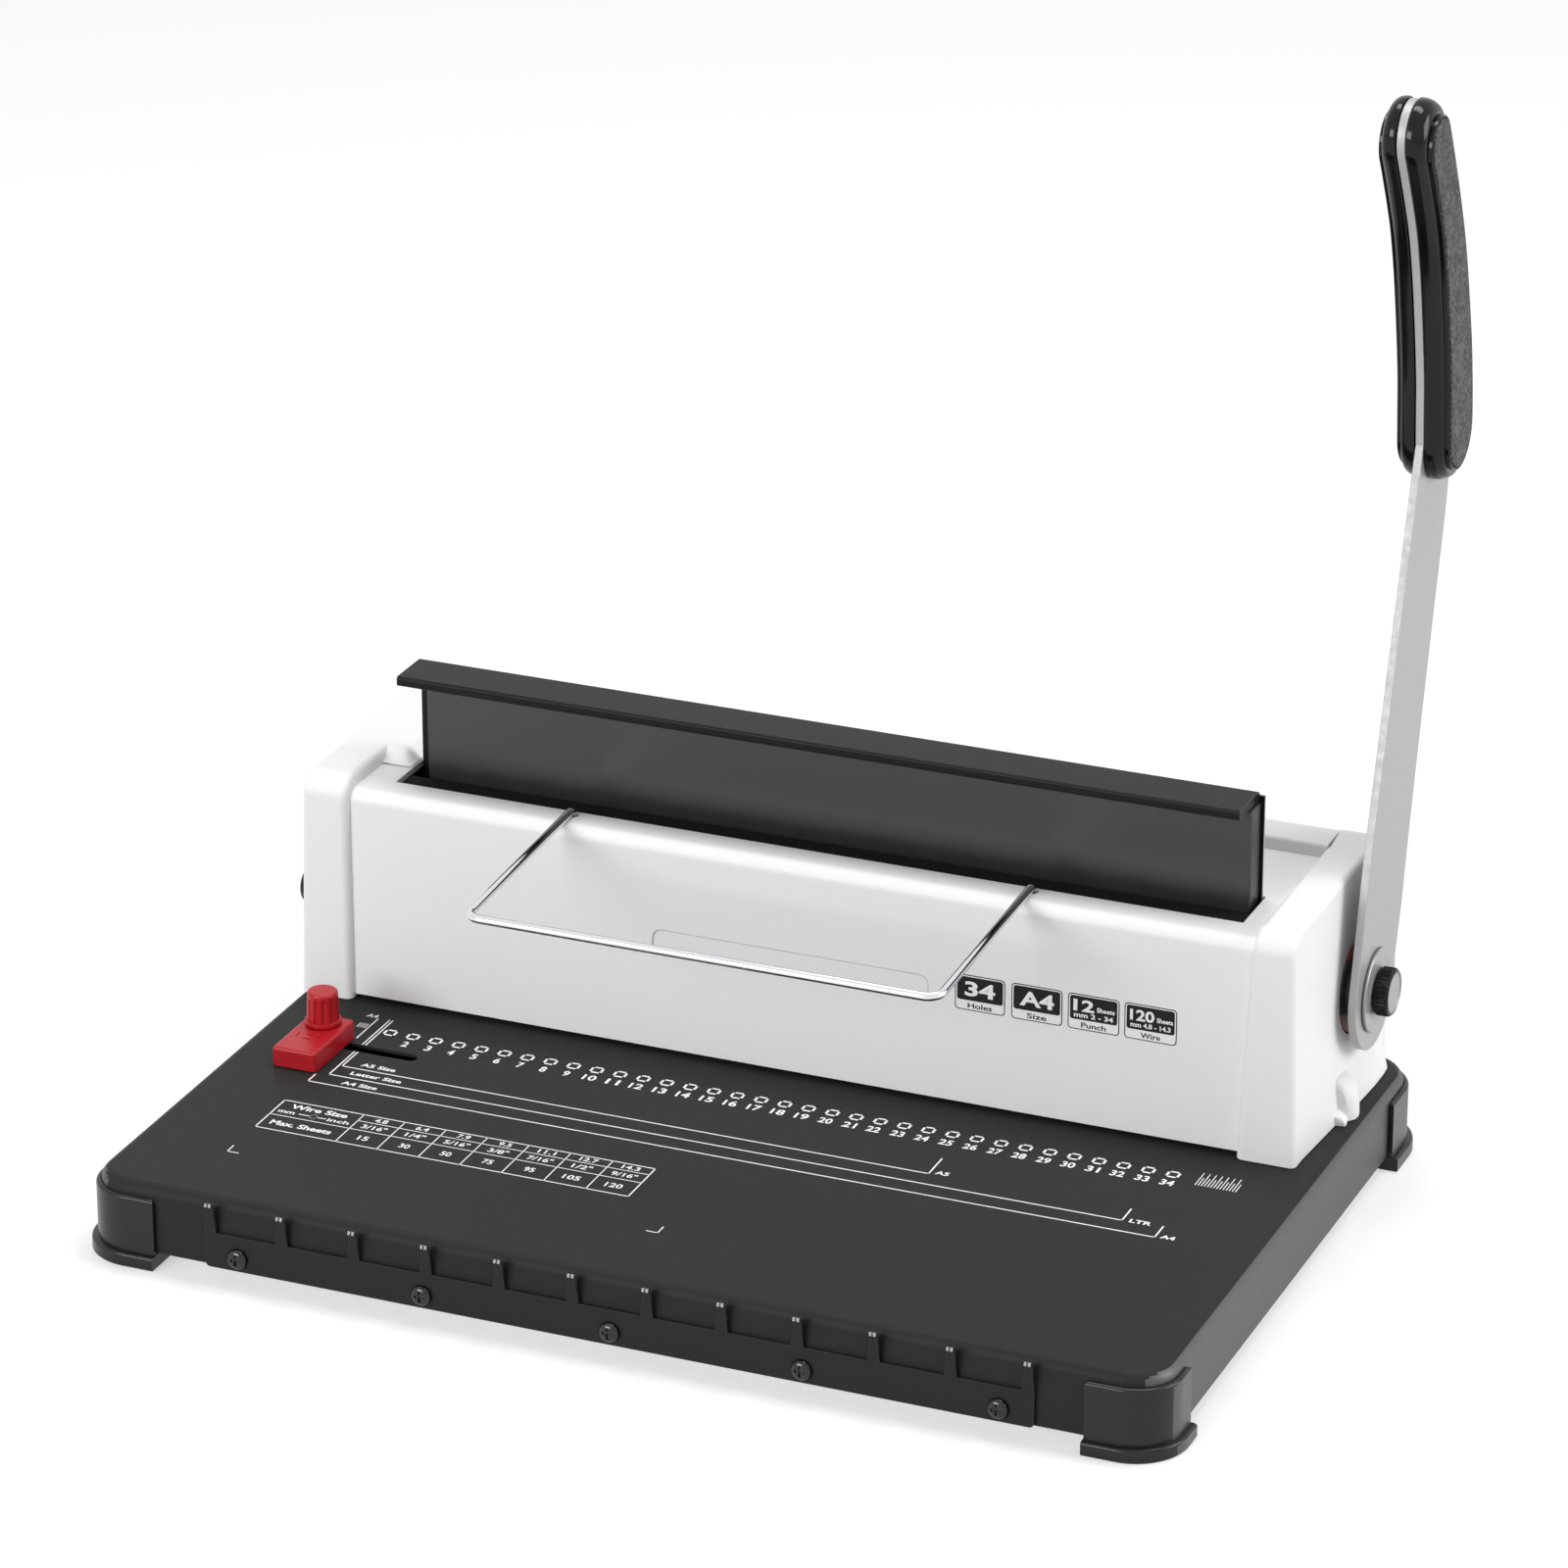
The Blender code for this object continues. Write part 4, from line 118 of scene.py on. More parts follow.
# %% Boxes and rounded edges
def block(low, high):
    """A box between two corners."""
    low, high = Vector(low), Vector(high)
    fit = Matrix.Translation((low + high) / 2) @ Matrix.Diagonal((*(high - low), 1))
    shape = bmesh.new()
    bmesh.ops.create_cube(shape, size=1, matrix=fit)
    return shape


def ends(edge):
    return [vert.co for vert in edge.verts]


def runs_along(edge, axis):
    span = edge.verts[1].co - edge.verts[0].co
    return abs(span[axis]) > 0.7 * span.length


def round_edges(shape, test, radius, steps):
    """Rounds the edges that a test picks."""
    bmesh.ops.bevel(shape, geom=[edge for edge in shape.edges if test(edge)], offset=radius,
                    segments=steps, affect="EDGES", profile=0.5)


def split(shape, place, normal):
    """Cuts new edges into a shape along a plane."""
    bmesh.ops.bisect_plane(shape, geom=shape.verts[:] + shape.edges[:] + shape.faces[:],
                           plane_co=place, plane_no=normal)


# %% Outlines
def arc(centre, radius, start, end, steps):
    """Points on an arc from one angle to another, in degrees."""
    angles = [radians(start + (end - start) * step / steps) for step in range(steps + 1)]
    return [(centre[0] + radius * cos(angle), centre[1] + radius * sin(angle))
            for angle in angles]


def circle(centre, radius, steps):
    return arc(centre, radius, 0, 360 - 360 / steps, steps - 1)


def soft_rectangle(low, high, radius, steps=8):
    """A rectangle with round corners."""
    left, right = low[0] + radius, high[0] - radius
    below, above = low[1] + radius, high[1] - radius
    corners = (right, above), (left, above), (left, below), (right, below)
    return [point for turn, corner in enumerate(corners)
            for point in arc(corner, radius, 90 * turn, 90 * turn + 90, steps)]


def heading(index, points):
    """The unit direction of a flat line at one of its points, and the normal to its right."""
    before, after = points[max(index - 1, 0)], points[min(index + 1, len(points) - 1)]
    along = Vector((after[0] - before[0], after[1] - before[1])).normalized()
    return along, Vector((along.y, -along.x))


# %% Plates and wires from curves
ACROSS = {
    "X": Matrix(((0, 0, 1), (1, 0, 0), (0, 1, 0))).to_4x4(),
    "Y": Matrix(((1, 0, 0), (0, 0, -1), (0, 1, 0))).to_4x4(),
    "Z": Matrix.Identity(4),
}


def mesh_of(item):
    """The mesh that an object's curve or modifiers make."""
    bpy.context.view_layer.update()
    ready = item.evaluated_get(bpy.context.evaluated_depsgraph_get())
    return bpy.data.meshes.new_from_object(ready)


def moved(shape, matrix):
    bmesh.ops.transform(shape, matrix=matrix, verts=shape.verts)
    return shape


def facing_out(shape):
    bmesh.ops.recalc_face_normals(shape, faces=shape.faces)
    return shape


def shape_of(curve):
    """The shape that a curve or some lettering makes."""
    holder = into_scene("holder", curve)
    mesh = mesh_of(holder)
    bpy.data.objects.remove(holder, do_unlink=True)
    shape = bmesh.new()
    shape.from_mesh(mesh)
    bpy.data.meshes.remove(mesh)
    bmesh.ops.remove_doubles(shape, verts=shape.verts, dist=0.0005)
    return shape


def draw(curve, places, closed):
    spline = curve.splines.new("POLY")
    spline.points.add(len(places) - 1)
    for point, place in zip(spline.points, places):
        point.co = (*place, 1)
    spline.use_cyclic_u = closed


def plate(outlines, axis, start, thickness, edge=0.0):
    """A plate with holes from start along an axis, its edges eased by a small radius."""
    curve = set_up(bpy.data.curves.new("outline", "CURVE"), dimensions="2D", fill_mode="BOTH",
                   extrude=thickness / 2 - edge, bevel_depth=edge, bevel_resolution=2,
                   offset=-edge)
    for outline in outlines:
        draw(curve, [(a, b, 0) for a, b in outline], True)
    direction = Vector([float(letter == axis) for letter in "XYZ"])
    place = Matrix.Translation(direction * (start + thickness / 2)) @ ACROSS[axis]
    return facing_out(moved(shape_of(curve), place))


def wire(places, radius):
    curve = set_up(bpy.data.curves.new("path", "CURVE"), dimensions="3D", bevel_depth=radius,
                   bevel_resolution=6, use_fill_caps=True)
    draw(curve, places, False)
    return facing_out(shape_of(curve))


# %% Rings and turned pieces
def through_rings(rings, closed=True):
    """Faces from each ring of places to the next, with both ends filled."""
    shape = bmesh.new()
    loops = [[shape.verts.new(place) for place in ring] for ring in rings]
    count = len(rings[0])
    for lower, upper in zip(loops, loops[1:]):
        for index in range(count):
            following = (index + 1) % count
            shape.faces.new((lower[index], lower[following], upper[following], upper[index]))
    if closed:
        shape.faces.new(loops[0])
        shape.faces.new(loops[-1])
    return facing_out(shape)


def ring_of(radius_at, height, steps):
    """A ring about the Z axis, whose radius may change with the angle."""
    return [(radius_at(angle) * cos(angle), radius_at(angle) * sin(angle), height)
            for angle in (2 * pi * step / steps for step in range(steps))]


def turned(profile, axis, place, steps=64):
    """A profile of (radius, height) pairs turned about an axis through a place."""
    shape = through_rings([ring_of(lambda angle: radius, height, steps)
                           for radius, height in profile], closed=False)
    bmesh.ops.remove_doubles(shape, verts=shape.verts, dist=0.001)
    bmesh.ops.holes_fill(shape, edges=shape.edges, sides=0)
    return facing_out(moved(shape, Matrix.Translation(place) @ ACROSS[axis]))


def rod(radius, length, axis, place, steps=32):
    profile = [(0.001, length), (radius, length), (radius, 0.0), (0.001, 0.0)]
    return turned(profile, axis, place, steps)


# %% [markdown]
# ## From a shape to a piece
# A finished piece needs four more things: its place in the frame, its cuts, small
# rounded edges that catch the light, and the body that it moves with. The cuts are Boolean
# modifiers with hidden tools, and the edges a Bevel modifier. Both are applied once, because
# smooth shading must be set on the final faces: flat faces stay flat through weighted
# normals, and edges sharper than a given angle stay crisp.

# %% Adding a piece
def into_mesh(shape, name):
    mesh = bpy.data.meshes.new(name)
    shape.to_mesh(mesh)
    shape.free()
    return mesh


def joined(shapes):
    """Several shapes in one."""
    whole = bmesh.new()
    for shape in shapes:
        mesh = into_mesh(shape, "joined")
        whole.from_mesh(mesh)
        bpy.data.meshes.remove(mesh)
    return whole


def add_object(name, shape):
    mesh = into_mesh(shape, name)
    mesh.transform(TO_FRAME)
    return into_scene(name, mesh)


def give_finishes(item, finishes):
    item.data.materials.clear()
    for finish in finishes:
        item.data.materials.append(finish)


replaced = set()


def add_piece(name, shape, finishes, body, nodes=(), wall=0.0, joins=(), cuts=(),
              edge=0.0, steps=3, late_cuts=(), sharp=38):
    """A piece with its wall, joined shapes, cuts, eased edges and late cuts, in this order."""
    item = add_object(name, shape)
    tools = []

    def modify(kind, **values):
        set_up(item.modifiers.new(kind, kind), **values)

    def combine(shapes, operation):
        for other in shapes:
            tools.append(add_object(name + "_tool", other))
            modify("BOOLEAN", operation=operation, solver="EXACT", object=tools[-1])

    if wall:
        modify("SOLIDIFY", thickness=wall * MM, offset=-1, use_even_offset=True)
    combine(joins, "UNION")
    combine(cuts, "DIFFERENCE")
    if edge:
        modify("BEVEL", width=edge * MM, segments=steps, limit_method="ANGLE",
               angle_limit=radians(40), use_clamp_overlap=True)
    combine(late_cuts, "DIFFERENCE")
    mesh = mesh_of(item)
    item.modifiers.clear()
    item.data = mesh
    for tool in tools:
        bpy.data.objects.remove(tool, do_unlink=True)
    mesh.shade_smooth()
    mesh.set_sharp_from_angle(angle=radians(sharp))
    modify("WEIGHTED_NORMAL", keep_sharp=True)
    give_finishes(item, finishes)
    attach(item, body)
    if nodes:
        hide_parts(*nodes)
        replaced.update(nodes)
    print("made", name, len(mesh.polygons), "faces")
    return item


def paint(item, test):
    """Gives the faces that a test picks the second finish; the test gets millimetres."""
    back = TO_FRAME.inverted()
    chosen = [face for face in item.data.polygons if test(back @ face.center, face.normal)]
    for face in chosen:
        face.material_index = 1
    print("   ", item.name, "has", len(chosen), "faces in its second finish")


# %% [markdown]
# ## Surface effects shared by the finishes
# Painted steel, moulded plastic and rubber all vary in the same three ways: the tone drifts
# a little over a hand's width, a fine grain covers the face, and handled edges rub through.
# On the deck the same edge effect also paints a lighter line along the rim: a painted
# highlight.
# Each effect is a node group with named inputs, so that one recipe serves every finish with
# its own sizes. The groups read object coordinates, which ride with a moving piece.

# %% Making nodes
def feed(tree, inputs, values):
    """Fills inputs by name: a socket is linked, and a number or colour is set."""
    for name, value in values.items():
        if isinstance(value, bpy.types.NodeSocket):
            tree.links.new(value, inputs[name])
        else:
            inputs[name].default_value = value


def add_node(tree, kind, values, **settings):
    """A new node's outputs, once its settings are made and its inputs filled."""
    node = set_up(tree.nodes.new("ShaderNode" + kind), **settings)
    feed(tree, node.inputs, values)
    return node.outputs


def calculate(tree, operation, *values, clamp=False):
    """A Math node whose inputs are sockets or numbers."""
    return add_node(tree, "Math", dict(enumerate(values)), operation=operation,
                    use_clamp=clamp)[0]


def noise(tree, place, scale, detail):
    values = {"Vector": place, "Scale": scale, "Detail": detail}
    return add_node(tree, "TexNoise", values)["Fac"]


def new_group(name, inputs, outputs):
    """A node group with named sockets: Colour holds a colour, and the others a value."""
    group = bpy.data.node_groups.new(name, "ShaderNodeTree")
    for way, titles in (("INPUT", inputs), ("OUTPUT", outputs)):
        for title in titles:
            kind = "NodeSocketColor" if title == "Colour" else "NodeSocketFloat"
            group.interface.new_socket(name=title, in_out=way, socket_type=kind)
    enter = group.nodes.new("NodeGroupInput").outputs
    leave = group.nodes.new("NodeGroupOutput").inputs
    place = add_node(group, "TexCoord", {})["Object"]
    print("group", name)
    return group, enter, leave, place


# %% Tone drift
DARKEST = 0.25
tone_drift, enter, leave, place = new_group(
    "tone drift", ("Colour", "Drift", "Scale"), ("Colour", "Tone"))
tone = noise(tone_drift, place, enter["Scale"], 3)
swing = calculate(tone_drift, "SUBTRACT", tone, 0.5)
drifted = calculate(tone_drift, "MULTIPLY_ADD", swing, enter["Drift"], 1.0)
factor = calculate(tone_drift, "MAXIMUM", drifted, DARKEST)
scaled = add_node(tone_drift, "VectorMath", {0: enter["Colour"], "Scale": factor},
                  operation="SCALE")
feed(tone_drift, leave, {"Colour": scaled[0], "Tone": tone})

# %% Fine grain
COARSE_SCALE = 0.21
fine_grain, enter, leave, place = new_group(
    "fine grain", ("Scale", "Coarse share"), ("Height", "Tone"))
small = noise(fine_grain, place, enter["Scale"], 2)
wider = calculate(fine_grain, "MULTIPLY", enter["Scale"], COARSE_SCALE)
coarse = noise(fine_grain, place, wider, 2)
difference = calculate(fine_grain, "SUBTRACT", coarse, small)
height = calculate(fine_grain, "MULTIPLY_ADD", difference, enter["Coarse share"], small)
feed(fine_grain, leave, {"Height": height, "Tone": coarse})

# %% Edge wear and painted rim highlight
PATCH_SCALE, WEAR_AND_HIGHLIGHT_GAIN = 900.0, 9.0
# Worn edges: real rubbing through, and on the deck also a painted highlight along the rim.
edge_wear_and_highlight, enter, leave, place = new_group("edge wear", ("Reach", "Amount"), ("Wear and highlight",))
softened = add_node(edge_wear_and_highlight, "Bevel", {"Radius": enter["Reach"]}, samples=4)
crisp = add_node(edge_wear_and_highlight, "NewGeometry", {})
likeness = add_node(edge_wear_and_highlight, "VectorMath", {0: softened["Normal"], 1: crisp["Normal"]},
                    operation="DOT_PRODUCT")
turn_away = calculate(edge_wear_and_highlight, "SUBTRACT", 1.0, likeness["Value"])
patches = noise(edge_wear_and_highlight, place, PATCH_SCALE, 3)
patchy = calculate(edge_wear_and_highlight, "MULTIPLY", turn_away, patches)
stretched = calculate(edge_wear_and_highlight, "MULTIPLY", patchy, WEAR_AND_HIGHLIGHT_GAIN)
wear_and_highlight_amount = calculate(edge_wear_and_highlight, "MULTIPLY", stretched, enter["Amount"], clamp=True)
feed(edge_wear_and_highlight, leave, {"Wear and highlight": wear_and_highlight_amount})

# %% [markdown]
# ## One maker for the finishes
# A finish is a Principled shader whose steady numbers sit on its own sockets. Only what
# changes over the face is linked: the drifting colour, a roughness that swings with the
# grain, the grain as a bump and, where a piece is handled, the worn edge, which on the deck
# also paints a lighter line along the rim: a painted highlight. Writing it once
# keeps the finishes honest: each differs from the next only by numbers that can be compared.
# Depth and reach are in millimetres, and scales are in spots for each metre.

# %% Making a finish
def new_material(name):
    material = set_up(bpy.data.materials.new(name), use_nodes=True)
    return material, material.node_tree, material.node_tree.nodes["Principled BSDF"].inputs


def new_finish(name, colour, roughness, metal=0.0, shine=0.5, drift=0.08, drift_scale=18.0,
               grain=2600, coarse=0.3, bump=0.08, depth=0.04, swing=0.12, bare_and_highlight_colour=None,
               reach=0.0, wear_and_highlight=0.0):
    material, tree, surface = new_material(name)
    base = add_node(tree, "Group", {"Colour": (*colour, 1), "Drift": drift,
                                    "Scale": drift_scale}, node_tree=tone_drift)["Colour"]
    grains = add_node(tree, "Group", {"Scale": grain, "Coarse share": coarse},
                      node_tree=fine_grain)
    # Edges mix in a lighter colour: bare metal where rubbed, and on the deck a painted
    # highlight.
    if wear_and_highlight:
        metal = add_node(tree, "Group", {"Reach": reach * MM, "Amount": wear_and_highlight},
                         node_tree=edge_wear_and_highlight)["Wear and highlight"]
        base = add_node(tree, "Mix", {"Factor": metal, "A": base, "B": (*bare_and_highlight_colour, 1)},
                        data_type="RGBA")["Result"]
    relief = add_node(tree, "Bump", {"Strength": bump, "Distance": depth * MM,
                                     "Height": grains["Height"]})
    uneven = calculate(tree, "SUBTRACT", grains["Tone"], 0.5)
    rough = calculate(tree, "MULTIPLY_ADD", uneven, swing, roughness)
    feed(tree, surface, {"Base Color": base, "Metallic": metal, "Specular IOR Level": shine,
                         "Roughness": rough, "Normal": relief["Normal"]})
    print("finish", name)
    return material


# %% [markdown]
# ## The finishes
# The deck has a satin powder coat with a faint orange peel. The closer is smoother and
# mirrors the room in its front face. The housing is white moulded plastic with a texture too
# fine to see as dots. The lever is sprayed silver: calm on its faces and speckled on its cut
# edge. The grip is high gloss with a grained insert. The deck's sides and the caps' outer
# faces get a lighter, shinier copy of their black: a painted sheen that makes them brighter
# than the tops.

# %% Painted steel
# The deck coat's worn edge is partly real wear and partly a painted highlight: a lighter line
# along the rim.
deck_coat = new_finish(
    "deck powder coat", (0.027, 0.027, 0.0275), 0.46, shine=0.06, grain=1500, bump=0.22,
    depth=0.06, drift=0.06, swing=0.10, bare_and_highlight_colour=(0.11, 0.11, 0.11), reach=1.0, wear_and_highlight=0.12)
# The deck's sides get a lighter, shinier copy of the deck coat: a painted sheen, so that they
# look brighter than the top.
skirt_painted_sheen = new_finish(
    "skirt powder coat with painted sheen", (0.022, 0.022, 0.0225), 0.50, shine=1.0, grain=1500, bump=0.20,
    depth=0.05, drift=0.06, swing=0.08)
closer_coat = new_finish(
    "closer paint", (0.012, 0.012, 0.0125), 0.36, shine=0.10, grain=700, depth=0.06,
    swing=0.10, bare_and_highlight_colour=(0.20, 0.20, 0.20), reach=0.7, wear_and_highlight=0.18)
press_coat = new_finish(
    "press block paint", (0.006, 0.006, 0.006), 0.37, shine=0.80, grain=500, bump=0.05,
    depth=0.06, drift=0.05, swing=0.06)
screw_black = new_finish(
    "black screw", (0.003, 0.003, 0.003), 0.16, shine=0.55, bare_and_highlight_colour=(0.30, 0.30, 0.30),
    reach=0.2, wear_and_highlight=0.12)
lever_face = new_finish(
    "lever silver face", (0.38, 0.38, 0.385), 0.38, metal=0.45, shine=0.4, grain=3200,
    drift=0.05)
lever_edge = new_finish(
    "lever silver edge", (0.46, 0.46, 0.465), 0.50, metal=0.30, shine=0.4, grain=1600,
    bump=0.9, depth=0.16, drift=0.25, drift_scale=1500, swing=0.4)
cut_edge = new_finish(
    "cut sheet edge", (0.42, 0.42, 0.42), 0.45, shine=0.4, grain=2000, bump=0.2, drift=0.3,
    drift_scale=400)

# %% Moulded plastic and rubber
housing_white = new_finish(
    "housing white", (0.87, 0.87, 0.872), 0.42, shine=0.22, grain=3000, bump=0.04,
    drift=0.010, drift_scale=9)
foot_black = new_finish("foot black", (0.014, 0.014, 0.0145), 0.26, shine=0.30)
# A lighter, shinier copy of the foot black for the caps' outer sides and the hub's black band:
# a painted sheen.
painted_sheen_black = new_finish("black with painted sheen", (0.020, 0.020, 0.0205), 0.40, shine=1.0, bump=0.10)
guide_red = new_finish(
    "guide red", (0.42, 0.008, 0.015), 0.34, shine=0.35, grain=2400, drift=0.05,
    drift_scale=60)
knob_black = new_finish("knob black", (0.004, 0.004, 0.004), 0.26, shine=0.22, bump=0.12)
grip_black = new_finish(
    "grip gloss black", (0.0035, 0.0035, 0.0035), 0.14, shine=0.27, grain=500, bump=0.02,
    depth=0.06, swing=0.04, drift=0.05)
insert_grain = new_finish(
    "insert grain", (0.026, 0.026, 0.027), 0.50, shine=0.3, grain=900, coarse=0.2, bump=1.0,
    depth=0.7, drift=16, drift_scale=800, swing=0.5)
felt_black = new_finish(
    "anvil felt", (0.007, 0.007, 0.007), 0.85, shine=0.15, grain=900, bump=0.9, depth=0.4,
    drift=0.5, drift_scale=400, swing=0.2)

# %% Bare and plated metal, and ink
chrome = new_finish(
    "chrome wire", (0.76, 0.76, 0.78), 0.08, metal=1.0, grain=1200, bump=0.03, depth=0.03,
    swing=0.05, drift=0.03)
zinc_plate = new_finish(
    "zinc plate", (0.46, 0.465, 0.47), 0.38, metal=1.0, grain=420, coarse=0.8, bump=0.12,
    drift=0.25, drift_scale=260, swing=0.25)
tray_black = new_finish(
    "tray black", (0.015, 0.015, 0.016), 0.40, shine=0.3, grain=2000, bump=0.12)
disc_red = new_finish("hub red", (0.30, 0.052, 0.040), 0.42, grain=2400, bump=0.10)
knob_face = new_finish(
    "knob face grey", (0.34, 0.34, 0.345), 0.36, metal=0.3, grain=1800, bump=0.20,
    drift=0.15, drift_scale=500)
print_white = new_finish(
    "print white", (0.90, 0.90, 0.90), 0.55, shine=0.2, bump=0.03, drift=0.02,
    drift_scale=300)
print_dark = new_finish("print dark", (0.014, 0.014, 0.015), 0.50, shine=0.2, bump=0.05)

# %% [markdown]
# ## The deck pan
# The deck is one sheet folded down on four sides, with a generous radius at the corners and
# a smaller one along the top edge. A box with those edges rounded and its floor removed is
# the sheet's outer face; a Solidify modifier gives it the sheet's thickness inwards. The
# die window, the guide's slot and the tray's mouth are then cut through it.

# %% Deck
SHEET = 1.2
FRONT, REAR = -1, 1
CORNER_RADIUS = {FRONT: 14, REAR: 17}
pan = block(DECK_LOW, DECK_HIGH)
for way, radius in CORNER_RADIUS.items():
    round_edges(pan, lambda edge: runs_along(edge, 2) and ends(edge)[0].y * way > 0, radius, 14)
round_edges(pan, lambda edge: all(abs(end.z) < 0.001 for end in ends(edge)), 4, 8)
floor_faces = [face for face in pan.faces if face.calc_center_median().z < DECK_LOW.z + 0.01]
bmesh.ops.delete(pan, geom=floor_faces, context="FACES")
window = block((-16, 28.2, -4), (291, 45.3, 4))
slot = plate([soft_rectangle((-26.2, -17.7), (17.2, -12.3), 2.65)], "Z", -4, 8)
mouth = block((-8.6, 111, -28), (288.6, 119, -11.9))
deck = add_piece("deck_pan", pan, [deck_coat, skirt_painted_sheen], "base", ["deck"],
                 wall=SHEET, cuts=[window, slot, mouth], sharp=30)
# The deck's left and right sides take the shinier skirt coat: a painted sheen.
paint(deck, lambda place, normal: abs(normal.x) > 0.5)

# %% [markdown]
# ## The corner feet
# Each corner wears a moulded cap with a toe that spreads at the floor. Its plan is the same
# at every height, only larger or smaller, so rings of that plan are joined from the
# floor up: toe, step, wall and a rounded top rim. A pocket in the shape of the deck's
# corner is cut out of it.

# %% Feet
def foot_levels():
    """Rings of the foot: how far out, at what height, and how far the ends reach."""
    wall, toe, floor, rounding = 1.8, 2.1, -28.6, 1.1
    levels = [(wall + toe - 0.5, floor, 0), (wall + toe, floor + 0.5, toe / 8)]
    for top, out, end in ((-23.8, toe, 0.0), (-4.2, 0, 1.6)):
        for wide, high in arc((0, 0), 1, 0, 90, 5):
            levels.append((wall + out - rounding * (1 - wide), top - rounding * (1 - high),
                           out / 8 - end * (1 - wide)))
        if out:
            levels.append((wall, top + 0.12, 0))
    return levels


def foot(name, side, end):
    """A cap for the deck's corner on one side and end."""
    x = (DECK_HIGH if side > 0 else DECK_LOW).x
    y = (DECK_HIGH if end == REAR else DECK_LOW).y
    radius, length = CORNER_RADIUS[end], 30 if end == REAR else 21

    def ring(out, height, x_reach, y_reach):
        plan = [(-x_reach, -y_reach), (out, -y_reach),
                *arc((-radius, -radius), radius + out, 0, 90, 16), (-x_reach, out)]
        return [(x + side * a, y + end * b, height) for a, b in plan]

    rings = [ring(out, height, 24.8 + more, length + more)
             for out, height, more in foot_levels()]
    pocket = through_rings([ring(0.3, height, 29, 34) for height in (-23.7, 4)])
    cap = add_piece(name + "_cap", through_rings(rings), [foot_black, painted_sheen_black], "base",
                    [name], cuts=[pocket], sharp=35)
    # The caps' outer side faces get the shinier black copy: a painted sheen that makes them
    # lighter than the rest of the cap.
    paint(cap, lambda place, normal: normal.x * side > 0.93)


for name, side, end in (("foot_front_left", -1, FRONT), ("foot_front_right", 1, FRONT),
                        ("foot_back_left", -1, REAR), ("foot_back_right", 1, REAR)):
    foot(name, side, end)

# %% [markdown]
# ## The hook strip
# A strip of sheet is screwed to the front of the deck and carries twelve prongs, one for
# every third hole, that hold the wire comb open while the sheets are hung on it. The strip is
# a flat plate with rounded lower corners. Each prong is a bent ribbon, whose section is
# carried along a path that leans out and then tips up. The cut tips are bare metal.

# %% Hook strip
PITCH = 25.4 / 3
STRIP_FACE = -135.3
PRONG, PRONG_TIP = 4.2, 2.2
PRONG_PATH = [(STRIP_FACE, -13.0), (STRIP_FACE, -12.0), (-135.4, -11.2), (-135.65, -10.3),
              (-137.9, -1.6), (-138.15, -0.7), (-138.6, 0.0), (-139.7, 0.45)]


def ribbon(left):
    """A prong's sections: its right edge is straight, its left edge leans in."""
    rings = []
    right = left + PRONG
    for index, (y, z) in enumerate(PRONG_PATH):
        back = heading(index, PRONG_PATH)[1] * SHEET
        inner = left + (PRONG - PRONG_TIP) * max(0.0, min(1.0, (z + 11.3) / 10.8))
        rings.append([(inner, y, z), (right, y, z), (right, y - back.x, z - back.y),
                      (inner, y - back.x, z - back.y)])
    return through_rings(rings)


strip_outline = [(-0.2, -11.3), *arc((1.3, -22.1), 1.5, 180, 270, 5),
                 *arc((281.9, -22.1), 1.5, 270, 360, 5), (283.4, -11.3)]
strip_plate = plate([strip_outline], "Y", STRIP_FACE - SHEET, SHEET)
lefts = [3 * PITCH * index - 0.2 for index in range(12)]
notches = [block((left + 2.8, -142, -2), (left + 3.4, -139.3, 2)) for left in lefts]
strip = add_piece("hook_strip_plate", strip_plate, [deck_coat, cut_edge], "base",
                  ["hook_strip"], joins=[joined(map(ribbon, lefts))], edge=0.13,
                  steps=2, late_cuts=[joined(notches)], sharp=35)
paint(strip, lambda place, normal: place.y < -139.2 and place.z > -0.4 and normal.y < -0.85)

# %% Cross-head screws
SCREW_HEAD = [(0.001, 2.0), (1.2, 1.97), (2.2, 1.78), (2.9, 1.42), (3.3, 0.95), (3.5, 0.35),
              (3.5, 0.0), (1.4, 0.0), (1.4, -6.0), (0.001, -6.0)]
seat = STRIP_FACE - SHEET - 0.3
for index in range(5):
    x, z = 11.5 + 65.1 * index, -18.8
    crosses = [block((x - wide, seat - 4, z - tall), (x + wide, seat - 1, z + tall))
               for wide, tall in ((1.9, 0.45), (0.45, 1.9))]
    add_piece(f"screw_{index + 1}", turned(SCREW_HEAD, "Y", (x, seat, z), 48), [screw_black],
              "base", [f"strip_screw_{index + 1}"], late_cuts=crosses, sharp=40)

# %% [markdown]
# ## The printed scale
# The deck is screen printed in white: a square for each hole with its number, the side
# lines of three paper sizes, a table that matches the wire's size to the sheets, and two
# short rulers. Ink is a film that follows the steel, so it is flat faces a hair above the
# deck. Letters come from Blender's own font and are fitted to the height and width wanted.

# %% Making print
def flat(outline):
    shape = bmesh.new()
    shape.faces.new([shape.verts.new((*point, 0)) for point in outline])
    return shape


def lines(points, width):
    """A straight inked line from each point to the next."""
    strokes = []
    for a, b in zip(map(Vector, points), map(Vector, points[1:])):
        side = Vector((a.y - b.y, b.x - a.x)).normalized() * width / 2
        end = (b - a).normalized() * width / 2
        strokes.append(flat([a - end - side, b + end - side, b + end + side, a - end + side]))
    return strokes


def square(low, high, width):
    return lines([low, (high[0], low[1]), high, (low[0], high[1]), low], width)


